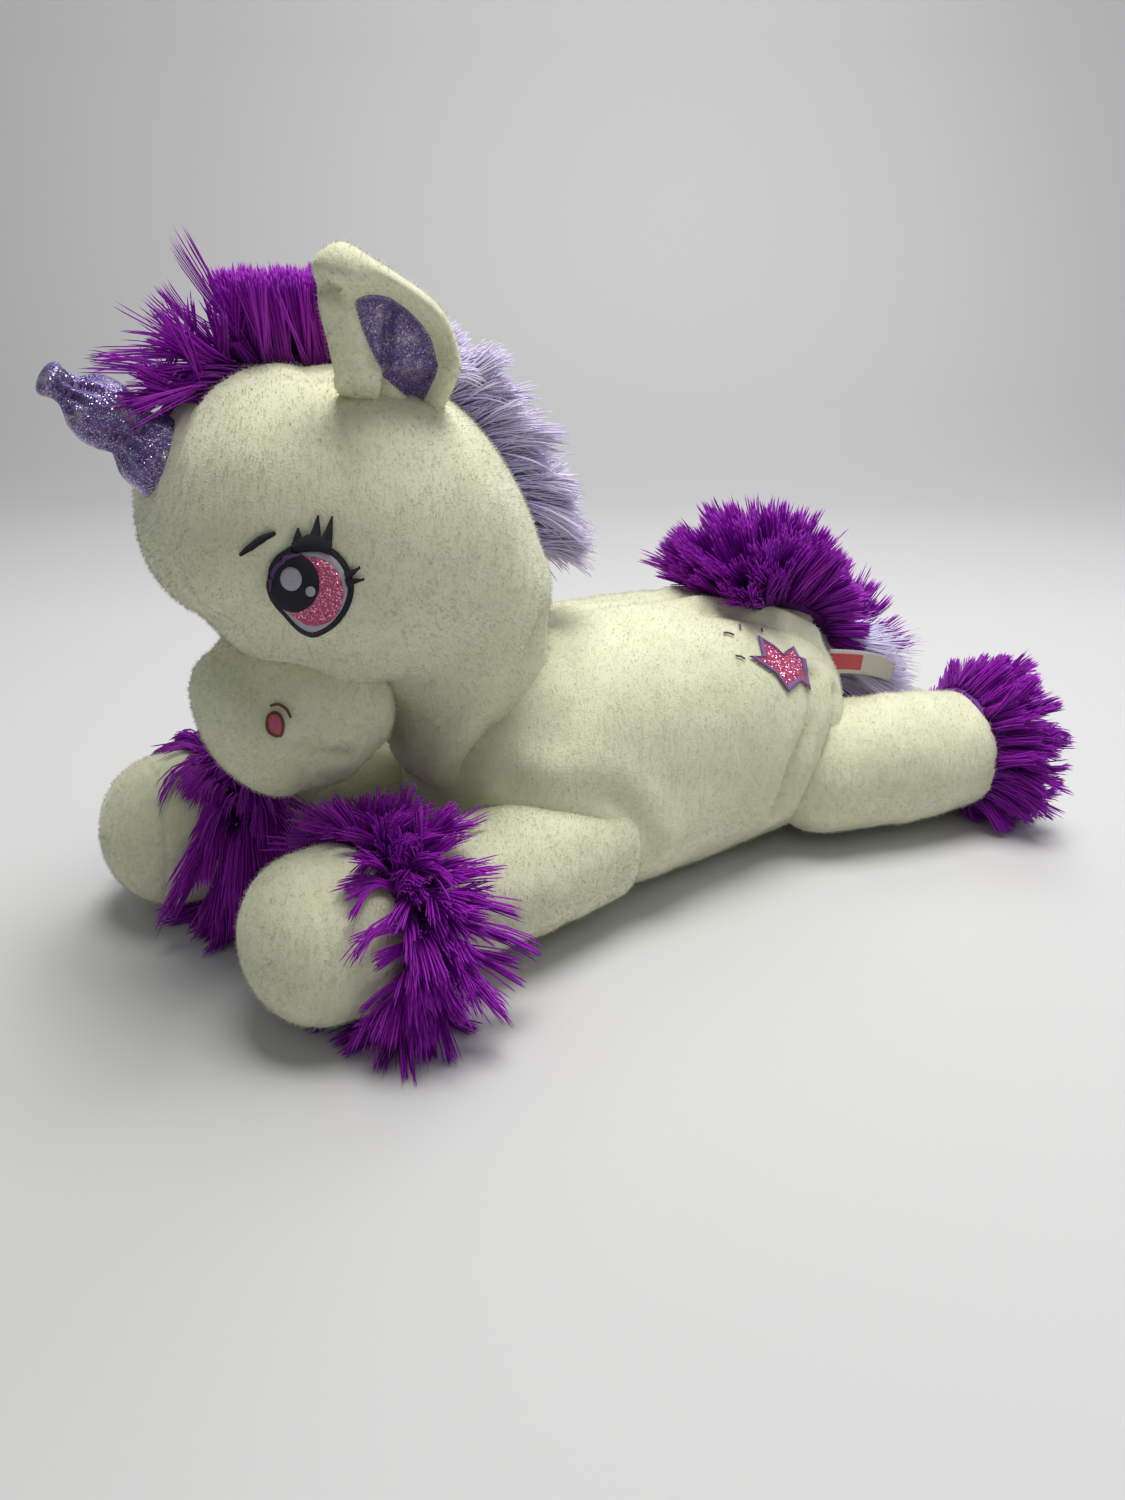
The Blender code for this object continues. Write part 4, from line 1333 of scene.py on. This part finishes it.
# rows for a satin-stitch line that swells and tapers
def band(line, widths, across=5, steps=26):
    line = np.array(line, float)
    places = runAlong(line)
    at = np.linspace(0, places[-1], steps)
    middle = throughStations(line, places, at)
    width = np.interp(at, places, widths)[:, None]
    ahead = unit(np.gradient(middle, axis=0))
    side = np.stack([-ahead[:, 1], ahead[:, 0]], 1)
    rows = [middle + side * width * share for share in np.linspace(-0.5, 0.5, across)]
    return {"rows": rows, "closed": False, "crown": ridged}


def ovalPoints(u, w, halfU, halfW, count=40):
    a = np.linspace(0, 2 * math.pi, count, endpoint=False)
    return np.stack([u + halfU * np.cos(a), w + halfW * np.sin(a)], 1)


# closed outline from radii given at angles in degrees
def roundOutline(radii, count=72):
    angles = np.radians([a for a, _ in radii] + [radii[0][0] + 360])
    sizes = np.array([r for _, r in radii] + [radii[0][1]], float)[:, None]
    at = np.linspace(angles[0], angles[-1], count, endpoint=False)
    r = throughStations(sizes, angles, at)[:, 0]
    return np.stack([r * np.cos(at), r * np.sin(at)], 1)


mm = 0.001
eyeArt = {
    # in millimetres across and up from the eye's middle; the outline and the white as (degrees, radius)
    "look": (0.81, -0.42, 0.40),   # the way the eye faces
    "outline": [(0, 15.0), (45, 14.9), (90, 13.4), (135, 13.6), (180, 13.9), (225, 12.5), (250, 14.0),
                (264, 14.8), (290, 14.2), (315, 14.0)],
    "white": [(0, 13.0), (45, 12.9), (90, 11.0), (135, 11.8), (180, 12.2), (225, 10.9), (250, 12.2),
              (264, 13.0), (290, 12.5), (315, 12.1)],
    "iris": (1.3, -0.7, 10.3, 10.4),
    "pupil": (-4.7, 2.3, 8.7, 8.9),
    "glints": [(-5.2, 3.6, 3.6, 3.6), (0.9, -0.5, 1.65, 1.6)],
    "lid": [[(-12.4, 0.5), (-11.3, 5.5), (-7.5, 9.3), (-1.5, 10.8)], [0.6, 1.4, 1.5, 0.5]],
    "lashes": [
        [[(-2.2, 12.0), (-1.9, 15.2), (-1.6, 18.2)], [4.0, 2.8, 0.5]],
        [[(2.8, 12.5), (4.1, 17.4), (5.0, 22.0)], [4.6, 2.8, 0.5]],
        [[(6.2, 12.0), (8.0, 16.6), (9.5, 21.6)], [4.6, 2.7, 0.5]],
        [[(12.6, 1.2), (15.5, 1.9), (18.4, 2.3)], [3.0, 1.7, 0.4]],
        [[(12.8, 3.4), (15.2, 4.7), (17.4, 6.0)], [2.8, 1.6, 0.4]],
    ],
    "heavyLid": [[(-3.8, 12.4), (2.5, 14.0), (8.6, 12.2)], [3.0, 4.8, 3.6]],
    "brow": [[(-20.6, 10.4), (-17.0, 12.5), (-13.0, 14.9), (-8.8, 16.7)], [1.0, 2.1, 2.2, 1.2]],
}


def scaled(points, size=mm):
    return [(u * size, w * size) for u, w in points]


# the same work on the toy's other side
def mirroredCopy(made, name):
    mesh = made.data.copy()
    mesh.transform(Matrix.Diagonal((-1, 1, 1, 1)))
    mesh.flip_normals()
    mesh.materials.clear()
    twin = newObject(name, mesh, made.data.materials[0])
    for modifier in made.modifiers:
        copy = twin.modifiers.new(modifier.name, modifier.type)
        copy.thickness = modifier.thickness
        copy.offset = modifier.offset
    return twin


def bothSides(piece, label, nodes, body="head"):
    for word, made in (("left", piece), ("right", mirroredCopy(piece, label + "_right"))):
        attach(made, body)
        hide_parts(*[node + "_" + word for node in nodes])


def makeEyes(head):
    tree = surfaceOf(head.data)
    low, high = (np.array(c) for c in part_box("eye_left"))
    centre = (low + high) / 2 - (0, 0.0015, 0.0025)
    art = eyeArt

    def piece(name, shape, lift, mat, slot="eye_thread", nodes=("eye",)):
        made = sewOn(name + "_left", tree, centre, art["look"], shape, lift, mat)
        bothSides(made, name, nodes)

    def outline(key):
        return disc(roundOutline([(degrees, radius * mm) for degrees, radius in art[key]]))

    def oval(sizes, *detail):
        return disc(ovalPoints(*[size * mm for size in sizes], *detail[:1]), *detail[1:])

    def line(work, steps=26):
        points, widths = work
        return band(scaled(points), [width * mm for width in widths], steps=steps)

    piece("eyeOutline", outline("outline"), 0.0011, looks["blackThread"])
    piece("eyeWhite", outline("white"), 0.0014, looks["whiteThread"])
    piece("eyeIris", oval(art["iris"]), 0.0017, looks["pinkGlitter"], "pink_glitter")
    piece("eyePupil", oval(art["pupil"]), 0.0021, looks["blackThread"])
    for k, glint in enumerate(art["glints"]):
        piece("eyeGlint%d" % k, oval(glint, 24, 5), 0.0025, looks["whiteThread"])
    piece("eyeLid", line(art["lid"]), 0.0026, looks["purpleThread"])
    piece("eyeHeavyLid", line(art["heavyLid"]), 0.0017, looks["blackThread"])
    for k, lash in enumerate(art["lashes"]):
        piece("eyeLash%d" % k, line(lash, 14), 0.0015, looks["blackThread"])
    piece("brow", line(art["brow"]), 0.0014, looks["blackThread"], nodes=("brow",))


nostrilArt = {
    # in millimetres from the nostril's middle: half sizes of the ovals, and the stitched arc above
    "look": (0.81, -0.42, 0.40),
    "rim": (3.4, 4.7),
    "fill": (2.4, 3.5),
    "arc": [(-1.4, 6.6), (1.4, 7.2), (4.4, 5.2), (5.6, 2.2)],
    "arcWidths": [0.9, 1.1, 1.1, 0.9],
}


def makeNostrils(muzzle):
    tree = surfaceOf(muzzle.data)
    low, high = (np.array(c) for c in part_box("nostril_left"))
    centre = (low + high) / 2
    art = nostrilArt

    def piece(name, shape, lift, mat):
        made = sewOn(name + "_left", tree, centre, art["look"], shape, lift, mat)
        bothSides(made, name, ("nostril",))

    rimWide, rimTall = scaled([art["rim"]])[0]
    fillWide, fillTall = scaled([art["fill"]])[0]
    rim = disc(ovalPoints(0, 0, rimWide, rimTall, 32), 6)
    piece("nostrilRim", rim, 0.0011, looks["brownThread"])
    fill = disc(ovalPoints(0, 0.1 * mm, fillWide, fillTall, 32), 6)
    piece("nostrilFill", fill, 0.0016, looks["pinkThread"])
    arc = band(scaled(art["arc"]), [width * mm for width in art["arcWidths"]])
    piece("nostrilArc", arc, 0.0012, looks["brownThread"])


crownArt = {
    # in millimetres across and up from the crown's middle
    "look": (0.70, -0.55, 0.45),
    "outline": [(-14.2, 1.6), (-8.6, 2.4), (-10.6, 11.4), (-4.2, 8.2), (0.4, 4.6), (5.0, 9.2), (7.4, 4.6),
                (10.0, 4.0), (12.6, -8.4), (8.0, -6.0), (2.6, -11.2), (-2.8, -4.6), (-8.4, -1.6)],
    "marks": [[(-27.0, 11.6), (-22.4, 11.0)], [(-21.6, 1.2), (-17.6, 0.2)], [(-19.6, 17.2), (-19.4, 14.6)],
              [(-9.6, 17.0), (-9.2, 15.2)]],
}


# three-pointed crown of glitter cloth with a satin edge, and loose stitches beside it
def makeCrown(torso):
    tree = surfaceOf(torso.data)
    low, high = (np.array(c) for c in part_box("crown_applique"))
    centre = (low + high) / 2 + (0, -0.006, 0.001)
    look = crownArt["look"]
    points = np.array(crownArt["outline"]) * mm
    dense = []
    for a, b in zip(points, np.roll(points, -1, axis=0)):
        dense += [a + (b - a) * t for t in np.linspace(0, 1, 6, endpoint=False)]
    dense = np.array(dense)
    middle = dense.mean(0)
    cloth = sewOn("crownCloth", tree, centre, look, disc(dense, 10), 0.0011, looks["pinkGlitter"], 0.0005)
    edgeRows = [middle + (dense - middle) * share for share in (0.87, 0.95, 1.03, 1.10)]
    edge = sewOn("crownEdge", tree, centre, look, {"rows": edgeRows, "closed": True, "crown": ridged},
                 0.0014, looks["lilacThread"], 0.0006)
    pieces = [cloth, edge]
    for k, line in enumerate(crownArt["marks"]):
        line = np.array(scaled(line))
        line = [line[0], (line[0] + line[1]) / 2 + (0, 0.0004), line[1]]
        pieces.append(sewOn("crownStitch%d" % k, tree, centre, look,
                            band(line, [0.0004, 0.0006, 0.0004], 4, 8), 0.0013, looks["lilacThread"]))
    for piece in pieces:
        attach(piece, "torso")
        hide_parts("crown_applique")


# sewn-in label

labelShape = {"width": 0.0125, "length": 0.046, "redShare": 0.45}


def makeLabel():
    low, high = (np.array(c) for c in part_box("sewn_label"))
    steps, across = 24, 7
    rows = []
    for k in range(steps):
        t = k / (steps - 1)
        y = low[1] - 0.004 + labelShape["length"] * t * 0.985
        x = (low[0] + high[0]) / 2 + 0.0012 * math.sin(3.1 * t)
        z = high[2] - labelShape["width"] / 2 - 0.006 * t - 0.0075 * t * t - 0.0004
        lean = 0.25 * t
        for j in range(across):
            s = (j / (across - 1) - 0.5) * labelShape["width"]
            rows.append((x + math.sin(lean) * s + 0.0004 * math.sin(9 * t), y, z + math.cos(lean) * s))
    mesh = bpy.data.meshes.new("sewnLabel")
    mesh.from_pydata(rows, [], gridFaces(steps, across, closed=False))
    mesh.shade_smooth()
    label = newObject("sewnLabel", mesh, looks["whiteSatin"])
    mesh.materials.append(looks["redSatin"])
    for face in mesh.polygons:
        row = face.index // (across - 1)
        column = face.index % (across - 1)
        inside = 0 < column < across - 2
        face.material_index = 1 if row < steps * labelShape["redShare"] and inside else 0
    wall = label.modifiers.new("cloth", "SOLIDIFY")
    wall.thickness = 0.0004
    wall.offset = 0
    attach(label, "torso")
    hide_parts("sewn_label")


# surroundings

stageSize = {
    "near": -2.5, "floorEnd": 0.95, "curve": 0.5, "wallTop": 3.0, "halfWidth": 3.5, "facing": 58.0,
    # painted shading of the sweep as it goes back and up: darker where the far floor falls into shade,
    # lighter again up the wall
    "paintedShading": [(0.12, 0.62), (0.26, 0.51), (0.40, 0.57), (0.60, 0.74)],
}


# pale sweep: a floor that curves up far behind the toy
def makeStage():
    s = stageSize
    start, curve = s["floorEnd"], s["curve"]
    profile = [(s["near"], 0.0), (start, 0.0)]
    profile += [(start + curve * math.sin(a), curve - curve * math.cos(a))
                for a in np.linspace(0.1, math.pi / 2, 14)]
    profile += [(start + curve, s["wallTop"])]
    verts = [(across, ahead, height) for across in (-s["halfWidth"], s["halfWidth"])
             for ahead, height in profile]
    n = len(profile)
    faces = [(k, n + k, n + k + 1, k + 1) for k in range(n - 1)]
    mesh = bpy.data.meshes.new("sweep")
    mesh.from_pydata(verts, [], faces)
    mesh.shade_smooth()
    mat, tree, shader = newMaterial("paleSweep", 0.75)
    place = tree.nodes.new("ShaderNodeTexCoord").outputs["Object"]
    parts = tree.nodes.new("ShaderNodeSeparateXYZ")
    wire(tree, place, parts.inputs[0])
    # the base colour carries painted shade: darker back across the floor, lighter up the wall
    reach = mathNode(tree, "ADD", mathNode(tree, "MULTIPLY", parts.outputs["Y"], 0.33),
                     mathNode(tree, "MULTIPLY", parts.outputs["Z"], 0.27))
    stops = [(spot, (level, level, level * 1.01)) for spot, level in s["paintedShading"]]
    wire(tree, rampNode(tree, stops, reach), shader.inputs["Base Color"])
    sweep = newObject("sweep", mesh, mat)
    sweep.rotation_euler = (0, 0, math.radians(s["facing"]))


def addLight(name, place, target, size, power, colour):
    data = bpy.data.lights.new(name, "AREA")
    data.shape = "DISK"
    data.size = size
    data.energy = power
    data.color = colour
    lamp = bpy.data.objects.new(name, data)
    lamp.location = place
    lamp.rotation_euler = (Vector(target) - Vector(place)).to_track_quat("-Z", "Y").to_euler()
    bpy.context.scene.collection.objects.link(lamp)


studio = {
    "air": (0.86, 0.88, 0.92, 1),
    "airStrength": 0.25,
    # each lamp's place, target, size, power and colour
    "lamps": {
        "overhead": ((0.03, 0.14, 1.5), (0, 0, 0.05), 0.9, 20.5, (1.0, 0.985, 0.95)),
        "window": ((-0.7, 0.75, 1.2), (0, 0, 0.1), 0.8, 5.5, (0.95, 0.97, 1.0)),
        "side": ((0.45, 0.60, 0.60), (0, -0.05, 0.18), 0.5, 0.8, (0.97, 0.97, 1.0)),
    },
    "cameraPlace": (0.4343, -0.3023, 0.282),
    "bearing": 32.0,   # degrees round from straight across
    "fall": 23.7,      # degrees that it looks down
    "lens": 29.14,
}


def makeLightAndCamera():
    s = studio
    world = bpy.data.worlds.new("studio")
    world.use_nodes = True
    world.node_tree.nodes["Background"].inputs["Color"].default_value = s["air"]
    world.node_tree.nodes["Background"].inputs["Strength"].default_value = s["airStrength"]
    bpy.context.scene.world = world
    for name, lamp in s["lamps"].items():
        addLight(name, *lamp)
    camera = bpy.data.cameras.new("camera")
    camera.sensor_width = 36.0
    camera.lens = s["lens"]
    camera.clip_start = 0.01
    holder = bpy.data.objects.new("camera", camera)
    bearing, fall = math.radians(s["bearing"]), math.radians(s["fall"])
    level = math.cos(fall)
    forward = Vector((-math.cos(bearing) * level, math.sin(bearing) * level, -math.sin(fall)))
    holder.location = s["cameraPlace"]
    holder.rotation_euler = forward.to_track_quat("-Z", "Y").to_euler()
    bpy.context.scene.collection.objects.link(holder)
    bpy.context.scene.camera = holder
    bpy.context.scene.view_settings.view_transform = "Standard"


makeLightAndCamera()
makeStage()
torso = makeTorso()
head = makeHead()
muzzle = makeMuzzle()
print("body covers made")
for leg in ("front_left", "front_right", "rear_left", "rear_right"):
    makeLeg(leg)
    makeCuff(leg)
print("legs made")
makeHair(head)
makeTail()
makeHorn()
for side in (1, -1):
    makeEar(side)
print("hair, tail, horn and ears made")
makeEyes(head)
makeNostrils(muzzle)
makeCrown(torso)
makeLabel()
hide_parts("neck_stuffing")
print("trim made")
